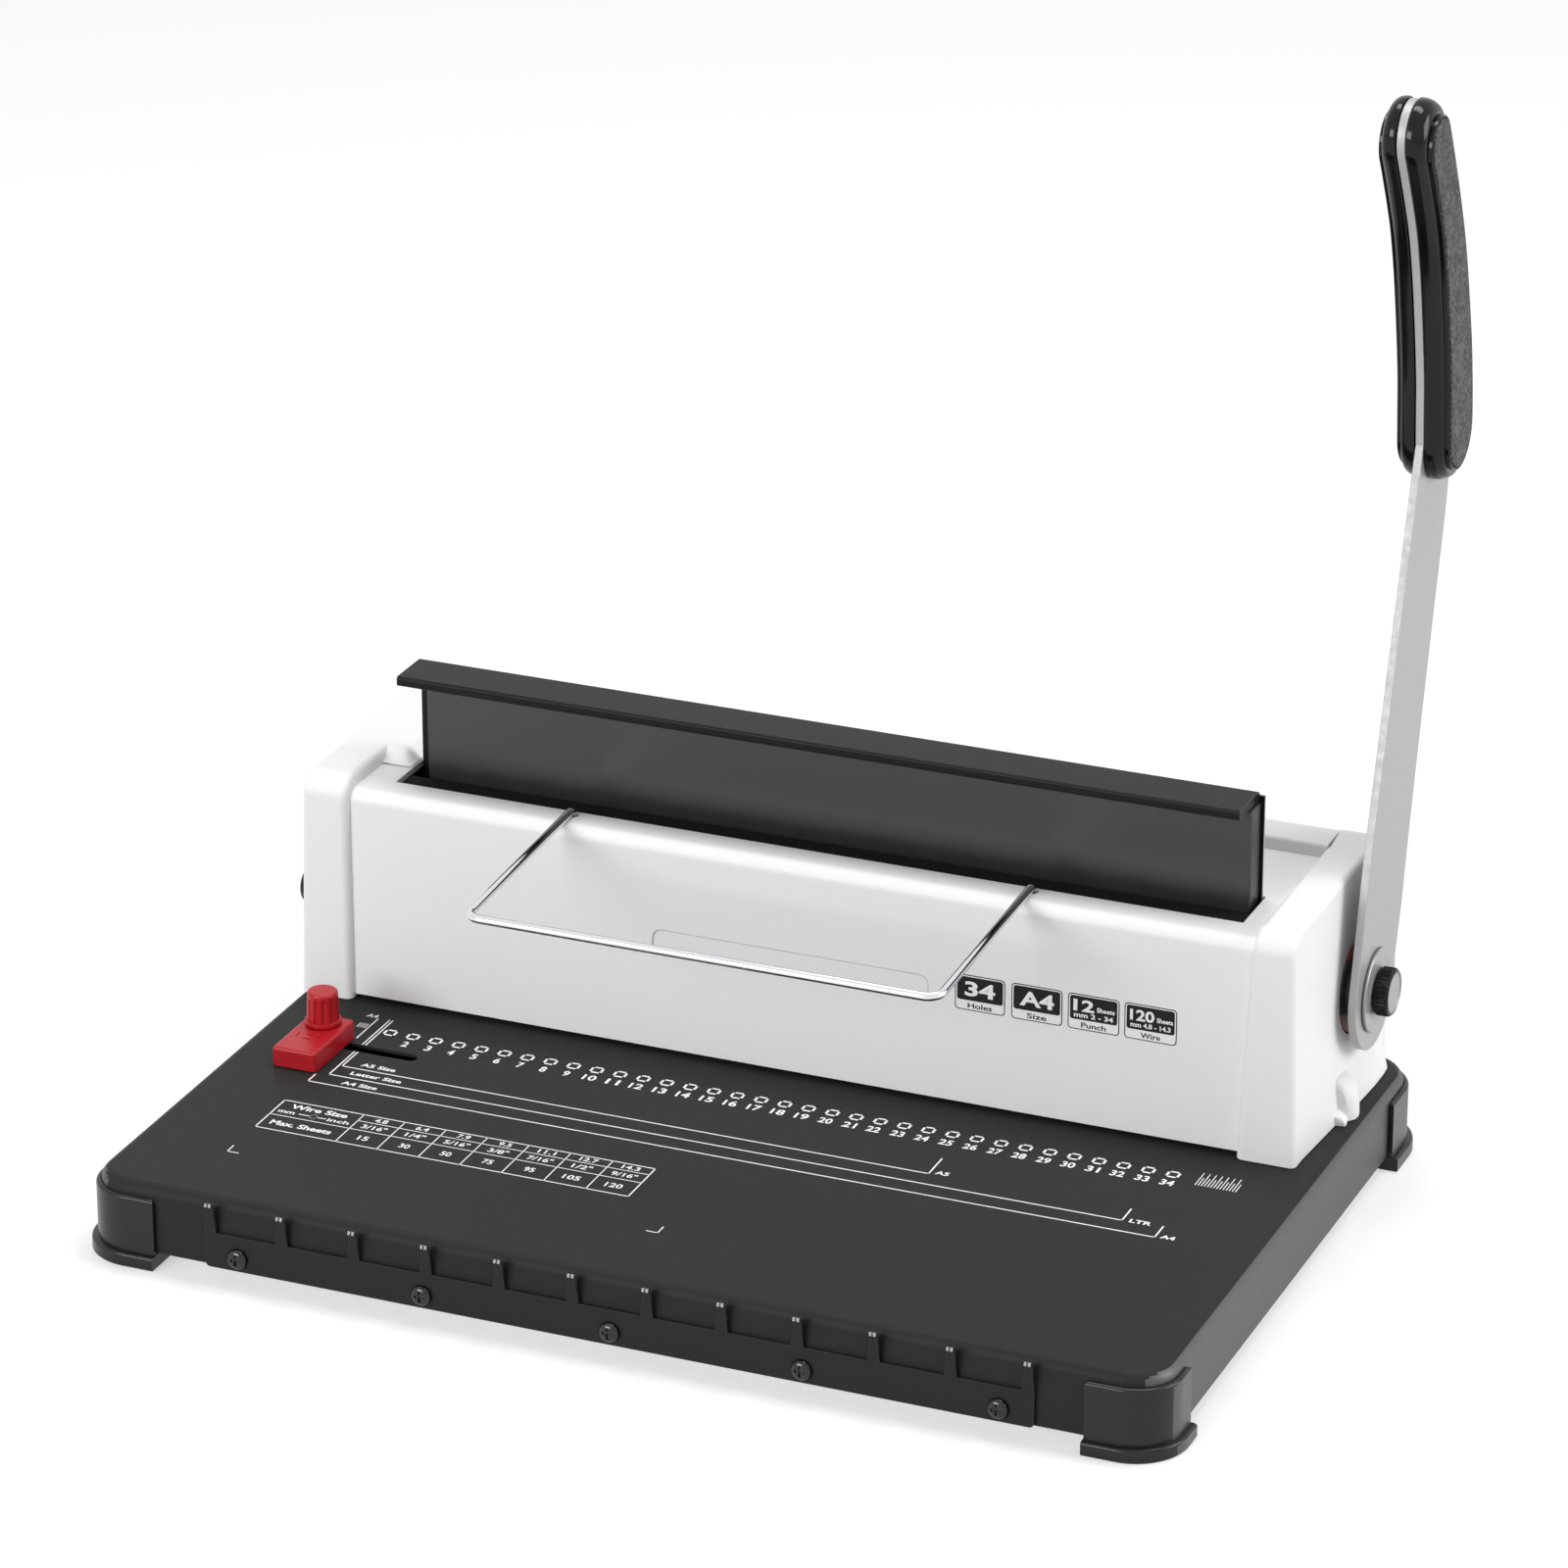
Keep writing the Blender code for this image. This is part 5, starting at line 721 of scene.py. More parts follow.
def letters(words, centre, height, width, bold=0.03):
    """Words fitted to a height and a width about a centre."""
    curve = set_up(bpy.data.curves.new("words", "FONT"), body=words, offset=bold,
                   resolution_u=3)
    shape = shape_of(curve)
    xs, ys = zip(*[vert.co.xy for vert in shape.verts])
    fit = Matrix.Diagonal((width / (max(xs) - min(xs)), height / (max(ys) - min(ys)), 1, 1))
    middle = Vector(((max(xs) + min(xs)) / 2, (max(ys) + min(ys)) / 2, 0))
    return moved(shape, Matrix.Translation((*centre, 0)) @ fit @ Matrix.Translation(-middle))


def inked(shapes, matrix):
    """Print with all its faces up, set in its place."""
    shape = joined(shapes)
    for face in shape.faces:
        if face.normal.z < 0:
            face.normal_flip()
    return moved(shape, matrix)


# %% Hole squares and numbers
ink = []
for index in range(34):
    x = PITCH * index
    ink += square((x - 1.85, -1.85), (x + 1.85, 1.85), 0.85)
    if index:
        wide = 2.2 if index < 9 else 4.7
        ink.append(letters(str(index + 1), (x + 0.1, -6.3), 3.9, wide, 0.022))
print("numbers and squares", len(ink))

# %% Paper sizes
for width, points in (
        (0.55, [(-8.7, 8.2), (-8.7, -8.0)]),
        (0.55, [(-8.8, -39.0), (-8.8, -44.5), (289.0, -44.5), (289.0, -36.4)]),
        (0.5, [(-4.6, 8.8), (-4.6, -11.9)]),
        (0.5, [(-3.4, 8.8), (-3.4, -11.9)]),
        (0.55, [(-4.6, -18.2), (-4.6, -37.2), (275.4, -37.2), (275.4, -28.7)]),
        (0.55, [(-3.4, -18.2), (-3.4, -29.8), (206.5, -29.8), (206.5, -18.1)]),
        (0.45, [(-9.2, -97.8), (-9.2, -102.2), (-5.3, -102.2)]),
        (0.45, [(143.1, -97.8), (143.1, -102.2), (139.2, -102.2)])):
    ink += lines(points, width)
for words, centre, width in (
        ("A5 Size", (8.4, -26.3), 12.6), ("Letter Size", (11.0, -33.6), 18.6),
        ("A4 Size", (8.6, -41.2), 13.0), ("A5", (210.6, -28.0), 4.6),
        ("LTR", (281.4, -36.4), 7.4), ("A4", (293.0, -43.2), 4.8), ("A4", (-11.4, 9.9), 4.2)):
    ink.append(letters(words, centre, 2.5, width))
for index in range(5):
    x = -12.7 + 0.95 * index
    ink += lines([(x, 0.2), (x, 3.4)], 0.35)
for index in range(14):
    x = 288.3 + 1.05 * index
    ink += lines([(x, -4.2), (x, 1.2 if index % 2 else 4.6)], 0.32)
print("with paper sizes", len(ink))

# %% Table of wire sizes
LEFT, TOP, LOW = -9.2, -60.6, -82.2
COLUMNS = [19.8 + 14.89 * index for index in range(8)]
RIGHT = COLUMNS[-1]
ROWS = ((-63.0, 2.7, 1.75), (-68.5, 2.9, 1.95), (-76.7, 3.1, 2.3))
SIZES = (("4.8", '3/16"', "15"), ("6.4", '1/4"', "30"), ("7.9", '5/16"', "50"),
         ("9.5", '3/8"', "75"), ("11.1", '7/16"', "95"), ("12.7", '1/2"', "105"),
         ("14.3", '9/16"', "120"))
ink += square((LEFT, LOW), (RIGHT, TOP), 0.5)
for left, y in ((LEFT, -71.7), (COLUMNS[0], -65.4)):
    ink += lines([(left, y), (RIGHT, y)], 0.4)
for left, right, values in zip(COLUMNS, COLUMNS[1:], SIZES):
    ink += lines([(left, TOP), (left, LOW)], 0.4)
    for words, (y, height, each) in zip(values, ROWS):
        width = each * (len(words) - 0.4)
        ink.append(letters(words, ((left + right) / 2, y), height, width, 0.02))
for words, *fitted in (
        ("Wire Size", (5.2, -63.9), 3.2, 20.5), ("Max. Sheets", (4.8, -76.9), 3.2, 22.0),
        ("mm", (-4.6, -68.7), 1.7, 5.8, 0.02), ("inch", (14.2, -68.5), 2.3, 7.8, 0.02)):
    ink.append(letters(words, *fitted))
for left, right in ((0.0, 3.6), (6.6, 9.4)):
    ink += lines([(left, -68.5), (right, -68.5)], 0.5)
ink += lines(circle((5.1, -68.5), 1.3, 16) + [(6.4, -68.5)], 0.45)
add_piece("deck_print", inked(ink, Matrix.Translation((0, 0, 0.04))), [print_white], "base")

# %% [markdown]
# ## The housing
# The housing is three mouldings: a left and a right cover with rounded shoulders, and a
# centre cover between them whose front and top lie a few millimetres lower. A moulding has
# an even wall and drafted sides, so each cover starts as the outer skin only: the edges
# are rounded while the box is still simple, the open sides are removed, and a Solidify
# modifier grows the wall inwards. The lug at the foot, the swelling behind it and the left
# cover's soft shoulder are made of rings and joined on. Holes are cut last.

# %% Side covers' skin
COVER_FRONT, COVER_REAR, COVER_TOP = 18.1, 114.5, 81.2
COVER_FOOT, COVER_WALL = 0.3, 2.2


def cover_skin(inner, outer):
    """The outer skin of a side cover, between seam and side, each given at deck and top."""
    toward = 1 if outer[0] > inner[0] else -1
    middle = (inner[0] + outer[0]) / 2
    skin = block((0, COVER_FRONT, COVER_FOOT), (1, COVER_REAR, COVER_TOP))
    for vert in skin.verts:
        at_deck, at_top = outer if (vert.co.x > 0.5) == (toward > 0) else inner
        vert.co.x = at_deck + (at_top - at_deck) * (vert.co.z / COVER_TOP)

    def beside(edge, way):
        return (any(end.z > COVER_FOOT + 0.01 for end in ends(edge))
                and all((end.x - middle) * way > 0 for end in ends(edge)))

    def at_seam(edge):
        return beside(edge, -toward) and all(end.y < 90.01 for end in ends(edge))

    round_edges(skin, lambda edge: runs_along(edge, 0) and ends(edge)[0].z > 40, 8.2, 12)
    round_edges(skin, lambda edge: beside(edge, toward), 2.0, 6)
    split(skin, (0, 90, 0), (0, 1, 0))
    round_edges(skin, at_seam, 2.6, 6)
    seam_faces = [face for face in skin.faces
                  if face.normal.x * toward < -0.99 and face.calc_area() > 400]
    floor_faces = [face for face in skin.faces if face.normal.z < -0.99]
    bmesh.ops.inset_region(skin, faces=seam_faces, thickness=3.2)
    bmesh.ops.delete(skin, geom=seam_faces + floor_faces, context="FACES")
    return skin


# %% Lug, swelling and shoulder
LUG_PLAN = [
    (54.0, -2.0, 0), (54.1, 3.4, 3.4), (54.5, 4.9, 3.8), (55.4, 5.1, 4.0), (56.8, 4.9, 4.2),
    (58.0, 4.6, 4.6), (58.6, 4.6, 13.4), (59.4, 5.2, 14.4), (60.8, 6.3, 14.8),
    (63.2, 6.7, 14.8), (66.0, 6.2, 14.6), (69.0, 5.2, 14.0), (71.0, 3.8, 13.0),
    (72.0, -2.0, 12.0)]
FLARE_PLAN = [(21.1, -0.3), (60.0, 2.2), (75.0, 3.7), (88.0, 4.3), (98.0, 4.3), (102.5, 3.9),
              (105.0, 3.0), (106.6, 1.5), (107.2, -0.3)]


def lug(side_x, toward):
    """A fin, a hollow and a swelling: (y, how far proud, how high) for each point."""
    rings = []
    for step in range(13):
        share = step / 12
        z = COVER_FOOT + 14.9 * share
        ring = []
        for y, proud, top in LUG_PLAN:
            swell = max(0.0, 1 - (15.2 * share / top) ** 2.6) ** 0.5 if top else 0.0
            ring.append((side_x + toward * ((proud + 1.9) * swell - 1.9), y, z))
        rings.append(ring + [(side_x - toward * 2.1, y, z) for y in (72.0, 54.0)])
    return through_rings(rings)


def flare(side_bottom, side_top, toward):
    """A swelling at the cover's foot that grows towards the rear and ends in a soft curve."""
    side_high = side_bottom + (side_top - side_bottom) * 20 / COVER_TOP
    inside = side_bottom - toward * 1.3
    rings = []
    for y, proud in FLARE_PLAN:
        ring = [(inside, y, COVER_FOOT)]
        for share in (step / 8 for step in range(9)):
            slope = (1 - share) * (1 - 0.18 * sin(pi * share))
            lean = (side_high - toward * 0.3 - side_bottom) * share
            ring.append((side_bottom + toward * proud * slope + lean, y,
                         COVER_FOOT + 19.7 * share))
        rings.append(ring + [(inside, y, 20.0)])
    return through_rings(rings)


SHOULDER_LOW = 77.0
SHOULDER = [(-24.6, 0), (-24.6, 4.19), (-19.5, 4.19), (-17.6, 3.9), (-16.4, 3.2), (-14.9, 1.8),
            (-13.8, 0.5), (-12.9, 0)]
RISE = ((46.5, 0.02), (48.0, 0.22), (49.5, 0.55), (51.0, 0.84), (52.5, 0.98), (54.0, 1.0),
        (93.0, 1.0), (96.0, 0.9))
shoulder = through_rings([[(x, y, SHOULDER_LOW + up * share) for x, up in SHOULDER]
                          for y, share in RISE])

# %% Side covers
HUB = (79.2, 39.2)
SIZE_KNOB = (49, 26)
RIGHT_SEAM = (293.9, 297.8)
for name, seam, side, toward, hole, more in (
        ("right_cover", RIGHT_SEAM, (314.3, 311.9), 1,
         rod(15.9, 20.0, "X", (305, *HUB), 64), []),
        ("left_cover", (-23.5, -23.5), (-42.3, -39.9), -1,
         rod(3.1, 20.0, "X", (-50, *SIZE_KNOB)), [shoulder])):
    add_piece(name + "_shell", cover_skin(seam, side), [housing_white], "base", [name],
              wall=COVER_WALL, cuts=[hole], sharp=35,
              joins=[lug(side[0], toward), flare(*side, toward), *more])

# %% Centre cover
PANEL_FRONT, PANEL_TOP, SEAM_GAP = 21.1, 76.5, 0.3
BAIL_LEFT, BAIL_RIGHT, BAIL_Y = 54.3, 218.0, 31.0
section = [(PANEL_FRONT, 1.6), *arc((PANEL_FRONT + 4.6, PANEL_TOP - 4.6), 4.6, 180, 90, 8),
           (93.5, PANEL_TOP), (94.0, 79.6), *arc((95.3, 79.6), 1.3, 170, 90, 4),
           *arc((106.0, 72.7), 8.2, 90, 0, 10), (114.2, 0.3)]
lean = (RIGHT_SEAM[1] - RIGHT_SEAM[0]) / COVER_TOP
skin = bmesh.new()
left_end = [skin.verts.new((-24.0, y, z)) for y, z in section]
right_end = [skin.verts.new((RIGHT_SEAM[0] + lean * z - SEAM_GAP, y, z)) for y, z in section]
for a, b, c, d in zip(left_end, left_end[1:], right_end[1:], right_end):
    skin.faces.new((a, b, c, d))
facing_out(skin)
if skin.faces[0].normal.y > 0:
    bmesh.ops.reverse_faces(skin, faces=skin.faces)
wire_slot = block((-12.4, 33.8, 70), (289.3, 56.2, 82))
dip = soft_rectangle((87.2, 36.0), (186.0, 45.0), 3.6, 10)
inside_dip = soft_rectangle((87.7, 36.5), (185.5, 44.5), 3.1, 10)
recess = plate([dip], "Y", PANEL_FRONT - 4, 4.4)
groove = plate([dip, inside_dip], "Y", PANEL_FRONT - 3, 4.0)
bail_holes = [rod(2.1, 8.0, "Z", (x, BAIL_Y, 72)) for x in (BAIL_LEFT, BAIL_RIGHT)]
add_piece("centre_cover_shell", skin, [housing_white], "base", ["centre_cover"],
          wall=COVER_WALL, cuts=[wire_slot], edge=0.7,
          late_cuts=[recess, groove, *bail_holes], sharp=35)

# %% Badges on the front panel
rims, grounds, plates, numbers = [], [], [], []
for left, right, rows, below in (
        (195.3, 212.8, [("34", 0.0, 42.9, 5.3, 10.6)], "Holes"),
        (215.0, 232.7, [("A4", 0.0, 42.9, 5.3, 12.0)], "Size"),
        (234.6, 252.4, [("12", -3.4, 43.8, 4.2, 7.2), ("Sheets", 4.2, 43.1, 1.7, 6.2),
                        ("mm 2 - 34", 0.0, 40.4, 1.8, 13.6)], "Punch"),
        (254.1, 272.1, [("120", -2.9, 43.8, 4.0, 8.4), ("Sheets", 4.9, 43.1, 1.7, 5.6),
                        ("mm 4.8 - 14.3", 0.0, 40.4, 1.8, 13.8)], "Wire")):
    middle = (left + right) / 2
    rims.append(flat(soft_rectangle((left, 35.1), (right, 47.8), 1.4)))
    grounds.append(flat(soft_rectangle((left + 0.35, 35.45), (right - 0.35, 47.45), 1.1)))
    plates.append(flat(soft_rectangle((left + 0.75, 38.7), (right - 0.75, 47.1), 0.9)))
    for words, aside, height, tall, wide in rows:
        numbers.append(letters(words, (middle + aside, height), tall, wide))
    plates.append(letters(below, (middle, 36.9), 1.9, len(below) * 1.7, 0.02))
for name, shapes, lift, finish in (
        ("rims", rims, 0.04, print_dark), ("grounds", grounds, 0.07, print_white),
        ("plates", plates, 0.10, print_dark), ("numbers", numbers, 0.13, print_white)):
    on_panel = Matrix.Translation((0, PANEL_FRONT - lift, 0)) @ ACROSS["Y"]
    add_piece("badge_" + name, inked(shapes, on_panel), [finish], "base")

# %% [markdown]
# ## The wire closer
# The closer is a folded sheet with a thick flange on top and a steel block in front of it
# that presses the wire loops shut on the anvil. The flange's section is drawn once,
# with its bent rear corner, and drawn out along X; the sheet hangs from it. Their cut ends
# are bare metal at the right, where the paint is worn by the housing.

# %% Closer
flange_section = [(55.6, 110.6), *arc((53.0, 111.4), 2.6, 0, 90, 10),
                  *arc((36.8, 113.0), 1.0, 90, 180, 5), *arc((36.5, 111.3), 0.7, 180, 270, 4)]
flange = plate([flange_section], "X", -12.2, 298.7)
web_outline = [(-19.1, 48), (-4.2, 48), (-4.2, 60), (280.5, 60), (280.5, 48), (294.3, 48),
               (294.3, 64), (288.5, 64), (288.5, 112.2), (-12.2, 112.2), (-12.2, 64),
               (-19.1, 64)]
closer = add_piece("closer_sheet", plate([web_outline], "Y", 54.65, 0.95),
                   [closer_coat, cut_edge], "closer", ["closer_plate"],
                   joins=[flange], edge=0.22, steps=2, sharp=35)
paint(closer, lambda place, normal: normal.x > 0.9 and place.x > 288.3 and place.z > 70)
add_piece("closer_press_block", block((-5.7, 45.3, 60), (287.5, 54.3, 110.3)), [press_coat],
          "closer", ["closer_block"], edge=0.6)

# %% Anvil
add_piece("anvil_felt", block((-11.8, 34.1, 73.8), (289.0, 44.5, 75.0)), [felt_black], "base",
          ["anvil_pad"], edge=0.4)

# %% [markdown]
# ## The lever
# The lever is flat bar that leans back from its hub and then curves forward under the grip.
# Its outline follows one centre line with a half width at each station, so both edges stay
# parallel through the bend. A smooth curve through a few chosen stations gives the many
# points that a fine edge needs. The grip halves use the same line, drawn in ring by ring.

# %% Lines of stations
LENGTH = 300.0
HUB_RADIUS, GRIP_HALF = 20.6, 14.8
SHANK = ((0.0213, 0.0805, 0.990), (0.0397, 0.1620, 0.981), (0.0703, 0.2727, 0.934),
         (0.1070, 0.4027, 0.893), (0.1417, 0.5277, 0.852))
GRIP = ((0.1500, 0.5947, 1.000), (0.1467, 0.6280, 0.997), (0.1377, 0.6897, 0.953),
        (0.1117, 0.7900, 0.878), (0.0880, 0.8543, 0.811), (0.0703, 0.8917, 0.797),
        (0.0513, 0.9280, 0.797), (0.0313, 0.9637, 0.797))


def in_millimetres(stations, half):
    """Stations back and up from the hub, with their half widths."""
    return [Vector((back * LENGTH, up * LENGTH, wide * half)) for back, up, wide in stations]


def smooth_line(points, steps):
    """A Catmull-Rom line through stations."""
    line = []
    for index in range(len(points) - 1):
        a, b, c = points[max(index - 1, 0)], points[index], points[index + 1]
        d = points[min(index + 2, len(points) - 1)]
        for t in (step / steps for step in range(steps)):
            line.append(0.5 * (2 * b + (c - a) * t + (2 * a - 5 * b + 4 * c - d) * t ** 2
                               + (3 * b - a - 3 * c + d) * t ** 3))
    return line + [points[-1]]


def edges_of(stations):
    """Front edge, rounded tip and back edge of a bar along its stations."""
    fronts, backs = [], []
    for index, (x, y, half) in enumerate(stations):
        along, back = heading(index, stations)
        centre = Vector((x, y))
        fronts.append(centre - back * half)
        backs.append(centre + back * half)
    tip = [centre - back * half * cos(angle) + along * half * sin(angle)
           for angle in (pi * step / 20 for step in range(1, 20))]
    return fronts, tip, backs


def at_hub(points):
    return [(HUB[0] + point[0], HUB[1] + point[1]) for point in points]


# %% Grip's outline
def grip_stations(margin, heel_pull=0.0, tip_pull=0.0):
    """The grip's centre line with its half width, and its ends drawn in."""
    places = in_millimetres(GRIP, GRIP_HALF)
    for end, inner, pull in ((0, 1, heel_pull), (-1, -2, tip_pull)):
        way = places[inner] - places[end]
        places[end] += way / way.length * pull
    return [place - Vector((0, 0, margin)) for place in smooth_line(places, 4)]


def grip_outline(*margins):
    stations = grip_stations(*margins)
    fronts, tip, backs = edges_of(stations)
    heel = edges_of(stations[::-1])[1]
    return at_hub(fronts + tip + backs[::-1] + heel)


# %% Lever bar
FACE_IN, BAR = 317.3, 2.8
FACE_OUT = FACE_IN + BAR
inside_grip = grip_stations(0.6)
bar_stations = smooth_line(in_millimetres(SHANK, HUB_RADIUS) + inside_grip[:1], 6)[:-1]
fronts, tip, backs = edges_of(bar_stations + inside_grip)
around = [point for point in arc((0.9, 0), HUB_RADIUS, 370, 165, 60) if point[1] < 9.27]
bar_outline = at_hub(fronts + tip + backs[::-1] + around)
bar = plate([bar_outline, circle(HUB, 2.8, 32)], "X", FACE_IN, BAR, 0.3)
lever = add_piece("lever_bar", bar, [lever_face, lever_edge], "handle", ["lever"],
                  sharp=50)
paint(lever, lambda place, normal: abs(normal.x) < 0.75)

# %% Grip halves and inserts
ENDS_IN = (1.6, 3.4)
HALF_LEVELS = [(0.25, 0, 0, 0.0), (0, 0, 0, 0.25), (0, 0, 0, 1.2)]
for wide, high in arc((0, 0), 1, 82 / 14, 82, 13):
    drawn = 1 - wide
    HALF_LEVELS.append((2.3 * drawn, 0.3 * drawn, 2.6 * drawn, 1.2 + 5.05 * high))
for margin, depth in ((2.25, 6.15), (2.25, 7.35), (2.32, 7.62), (2.5, 7.75), (2.75, 7.75),
                      (2.88, 7.6), (2.92, 7.3), (2.92, 6.6)):
    HALF_LEVELS.append((margin, *ENDS_IN, depth))
PAD_LEVELS = [(margin, *ENDS_IN, depth) for margin, depth in (
    (3.2, 6.9), (3.2, 7.7), (3.3, 7.9), (3.55, 8.03), (3.9, 8.1))]


def grip_rings(levels, face, reach):
    """Rings from the lever's face outwards, each drawn in by its margins."""
    return through_rings([[(face + reach * depth, y, z) for y, z in grip_outline(*margins)]
                          for *margins, depth in levels])


for side, face, reach in (("outer", FACE_OUT + 0.3, 1.0), ("inner", FACE_IN - 0.3, -0.84)):
    for piece, levels, finish, node, slot in (
            ("half", HALF_LEVELS, grip_black, "grip", "grip_gloss"),
            ("pad", PAD_LEVELS, insert_grain, "grip_insert", "insert_rubber")):
        add_piece(f"grip_{piece}_{side}", grip_rings(levels, face, reach), [finish], "handle",
                  [f"{node}_{side}"], sharp=50)

# %% [markdown]
# ## The hub
# The lever is clamped on the shaft by a thumb knob with a knurled rim. A disc and a
# boss behind the lever fill the housing's opening. All of it is turned work, so each piece
# is a profile of radius against height, turned about the shaft's axis. The knurl is the
# one thing that turning can't make: its outline rises and falls once for every ridge.

# %% Hub disc and washer
BAND_LOW, BAND_HIGH = -8.2, 9.8
LEVER_WAY = Vector((0, 0.265, 0.964))
HUB_CENTRE = Vector((0, *HUB))


def from_hub(place):
    return hypot(place.y - HUB[0], place.z - HUB[1])


disc = turned([(6.3, 0), (15.0, 0), (15.2, 0.2), (15.2, 2.0), (15.0, 2.2), (10.0, 2.2),
               (10.0, 5.6), (9.8, 5.8), (6.3, 5.8), (6.3, 0)], "X", (311.2, *HUB))
for height in (BAND_LOW, BAND_HIGH):
    split(disc, HUB_CENTRE + LEVER_WAY * height, LEVER_WAY)
hub = add_piece("hub_disc", disc, [disc_red, painted_sheen_black], "handle", ["hub_flange"],
                sharp=40)
# The centre and the band across the disc are black, in the shinier black copy: a painted sheen
# that lifts them out of the disc's shade.
paint(hub, lambda place, normal: from_hub(place) < 10.2
      or BAND_LOW < (place - HUB_CENTRE).dot(LEVER_WAY) < BAND_HIGH)
washer = turned([(2.8, 0), (14.0, 0), (14.2, 0.15), (14.2, 0.75), (13.95, 1.0), (10.9, 1.0),
                 (10.7, 0.85), (9.9, 0.85), (9.7, 1.0), (2.8, 1.0), (2.8, 0)], "X",
                (FACE_OUT + 0.3, *HUB), 96)
add_piece("lever_washer_disc", washer, [lever_face], "handle", ["lever_washer"],
          sharp=40)


# %% Thumb knob
def ridged(levels, ridges, dip, axis, place, steps_per_ridge):
    """A round bar with ridges along it, from (radius, height, depth of dips) for each ring."""
    rings = [ring_of(lambda angle: radius - depth * dip(ridges * angle), height,
                     ridges * steps_per_ridge) for radius, height, depth in levels]
    return moved(through_rings(rings), Matrix.Translation(place) @ ACROSS[axis])


def knurled(levels, ridges, place):
    return ridged(levels, ridges, lambda angle: (1 - cos(angle)) / 2, "X", place, 6)


knob_start = FACE_OUT + 1.6
thumb = knurled([(7.5, 0.0, 0.1), (8.2, 0.6, 0.45), (8.2, 4.1, 0.45), (7.95, 4.7, 0.3),
                 (7.35, 5.2, 0.0), (6.7, 5.2, 0.0), (6.4, 4.9, 0.0)], 30, (knob_start, *HUB))
stem = rod(2.5, 16.6, "X", (knob_start - 16.0, *HUB))
thumb_knob = add_piece("thumb_knob_head", joined([thumb, stem]), [knob_black, knob_face],
                       "lever_knob", ["thumb_knob"], sharp=35)
paint(thumb_knob, lambda place, normal: place.x > knob_start + 4.8 and from_hub(place) < 6.8)

# %% [markdown]
# ## The wire support
# A U of chrome wire plugs into the front lip of the slot, and the bound sheets lie on it
# while the wire is closed. It is one bent rod, so it is a path with a round section: down
# into each hole, round a small bend, forward and slightly down, and across through two
# corners.

# %% Bail
def bail_path():
    slope, top, bend, corner, length = radians(3.1), PANEL_TOP + 1.8, 2.8, 5, 84.0
    upright = [(BAIL_Y, PANEL_TOP - 4.2), *arc((BAIL_Y - bend, top - bend), bend, 0, 90, 8)]

    def side(x, inward):
        turns = [(corner * sin(turn), corner * (1 - cos(turn)))
                 for turn in (radians(90 * step / 12) for step in range(13))]
        reaches = [(length - corner + ahead, aside) for ahead, aside in turns]
        return [(x, y, z) for y, z in upright] + [
            (x + inward * aside, BAIL_Y - reach * cos(slope), top - reach * sin(slope))
            for reach, aside in reaches]

    return side(BAIL_LEFT, 1) + side(BAIL_RIGHT, -1)[::-1]


add_piece("bail_wire", wire(bail_path(), 1.5), [chrome], "base", ["bail"],
          sharp=60)

# %% [markdown]
# ## The edge guide
# The red guide slides in the deck's slot and sets where the paper's edge stops. Its clamp
# knob has twelve flutes that run out under a smooth cap, which a finger feels as grip. The
# flutes are cut into a slightly tapered bar by letting the radius dip at each flute, with
# the dip fading out towards the cap.

# %% Guide block
GUIDE_AT = (-17.5, -15.0)
MARKS = ((-18.9, -28.7, -16.1, -28.2), (-18.9, -25.4, -16.1, -24.9),
         (-21.6, -27.4, -21.1, -24.8), (-13.9, -27.4, -13.4, -24.8))
body = block((-25.1, -38.4, 0.3), (-9.0, -8.4, 7.0))
round_edges(body, lambda edge: runs_along(edge, 2), 1.3, 6)
round_edges(body, lambda edge: all(end.z > 6.9 for end in ends(edge)), 1.0, 5)
add_piece("guide_block", body, [guide_red], "guide", ["edge_guide"],
          cuts=[rod(2.7, 12.0, "Z", (*GUIDE_AT, -2))], sharp=35,
          late_cuts=[block((a, b, 6.75), (c, d, 8)) for a, b, c, d in MARKS])

# %% Clamp knob
KNOB_FOOT = 7.3
head = ridged([(5.6, 1.4, 0.55), (5.55, 2.2, 0.62), (5.3, 8.6, 0.62), (5.27, 9.3, 0.40),
               (5.25, 9.8, 0.0), (5.22, 10.9, 0.0), (5.05, 11.4, 0.0), (4.7, 11.7, 0.0),
               (4.2, 11.8, 0.0)], 12, lambda angle: max(0.0, cos(angle)) ** 0.6, "Z",
              (*GUIDE_AT, KNOB_FOOT), 10)
collar = turned([(0.001, 1.6), (5.8, 1.6), (6.1, 1.45), (6.2, 1.1), (6.2, 0.3), (6.0, 0.0),
                 (0.001, 0.0)], "Z", (*GUIDE_AT, KNOB_FOOT), 72)
stem = rod(2.4, 12.0, "Z", (*GUIDE_AT, KNOB_FOOT - 11.8))
add_piece("guide_clamp_knob", joined([head, collar, stem]), [guide_red], "guide_clamp",
          ["guide_knob"], sharp=32)

# %% [markdown]
# ## The size knob
# A knurled knob on the left side sets how far the closer comes down. Only its rim shows in
# the photograph; the rest is made as such knobs are: ridges on the rim, a chamfer at both
# ends and a spindle into the housing.

# %% Size knob
selector = knurled([(5.7, 0.0, 0.0), (6.5, 0.7, 0.4), (6.5, 9.3, 0.4), (5.9, 10.0, 0.0)], 36,
                   (-54.7, *SIZE_KNOB))
spindle = rod(2.5, 41.5, "X", (-50.5, *SIZE_KNOB))
add_piece("size_knob_head", joined([selector, spindle]), [knob_black], "size_selector",
          ["size_knob"], sharp=35)

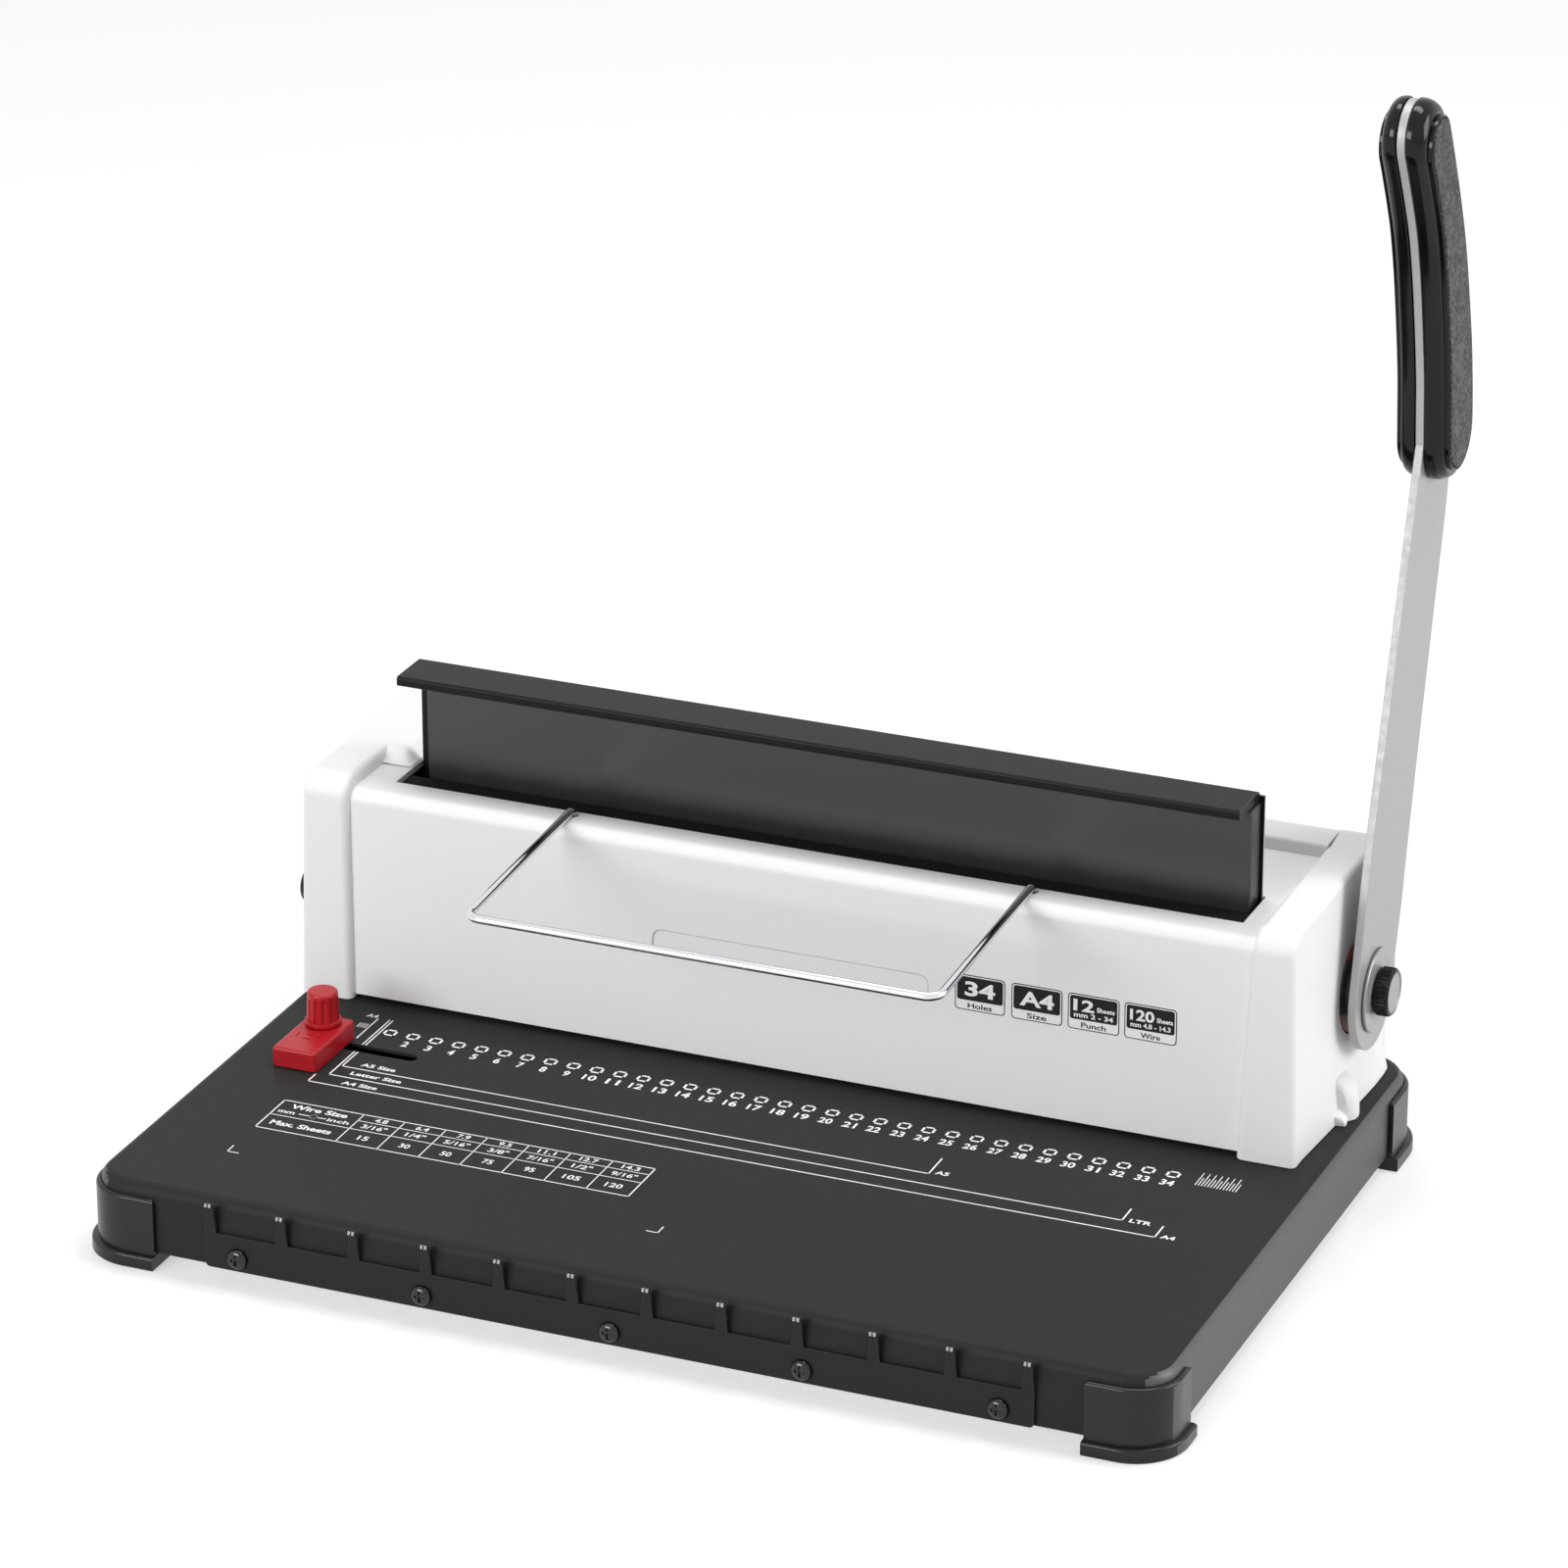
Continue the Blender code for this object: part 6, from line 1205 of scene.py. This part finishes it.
# %% [markdown]
# ## The works inside
# The frames, shaft, racks, punch comb and tray keep their exact solids from the packed
# model. They are zinc-plated or blackened, so they only need their finish: a mottled zinc
# for the plated steel, plain black for the tray, and the closer's paint on the anvil bar.

# %% Finishes for the kept nodes
BLACKENED = {"chip_tray": tray_black, "anvil_bar": closer_coat}
kept = [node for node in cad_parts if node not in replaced]
for node in kept:
    give_finishes(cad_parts[node], [BLACKENED.get(node, zinc_plate)])
print("finished", len(kept), "kept nodes")

# %% [markdown]
# ## Floor, room and lamps
# The machine stands on a plain white sweep. The room is white for the camera and for
# reflections, and softer for the light that falls on the object. A wide lamp overhead and a
# little behind lights the tops and lets the housing shade the deck before it. One from the
# front left fills the fronts and one from the right the side, all soft, as in the
# photograph, so that only a faint shadow is left on the floor.

# %% Floor
def seen_directly(tree):
    """1 where the camera, a mirror or glass looks, and 0 for the light on the object."""
    rays = add_node(tree, "LightPath", {})
    either = calculate(tree, "MAXIMUM", rays["Is Camera Ray"], rays["Is Glossy Ray"])
    return calculate(tree, "MAXIMUM", either, rays["Is Transmission Ray"])


FAR = 12
floor_mesh = bpy.data.meshes.new("floor")
floor_mesh.from_pydata([(-FAR, -FAR, 0), (FAR, -FAR, 0), (FAR, FAR, 0), (-FAR, FAR, 0)], [],
                       [(0, 1, 2, 3)])
floor = into_scene("floor", floor_mesh)
floor.location.z = cad_box[0][2]
sweep, tree, surface = new_material("white sweep")
feed(tree, surface, {
    "Base Color": (0.55, 0.55, 0.55, 1), "Roughness": 0.9, "Specular IOR Level": 0.0,
    "Emission Color": (1, 1, 1, 1),
    "Emission Strength": calculate(tree, "MULTIPLY", seen_directly(tree), 0.50)})
floor_mesh.materials.append(sweep)
print("floor at", round(floor.location.z, 4))

# %% Room
ROOM_LIGHT = 0.36
world = set_up(bpy.data.worlds.new("room"), use_nodes=True)
bpy.context.scene.world = world
level = calculate(world.node_tree, "MULTIPLY_ADD", seen_directly(world.node_tree),
                  1 - ROOM_LIGHT, ROOM_LIGHT)
feed(world.node_tree, world.node_tree.nodes["Background"].inputs,
     {"Color": (1, 1, 1, 1), "Strength": level})
bpy.context.scene.view_settings.view_transform = "Standard"

# %% Lamps
for name, place, target, size, power in (
        ("overhead", (0.1, 0.5, 2.3), (0, 0, 0.05), (1.8, 0.6), 29),
        ("front left", (-0.9, -2.3, 0.9), (0, 0, 0.08), (1.5, 0.9), 40),
        ("right", (1.7, 0.4, 0.7), (0.1, 0, 0.08), (1.0, 0.9), 17)):
    lamp = set_up(bpy.data.lights.new(name, "AREA"), shape="RECTANGLE", size=size[0],
                  size_y=size[1], energy=power)
    way = Vector(target) - Vector(place)
    set_up(into_scene(name, lamp), location=place,
           rotation_euler=way.to_track_quat("-Z", "Y").to_euler())
    print("lamp", name, power, "W")
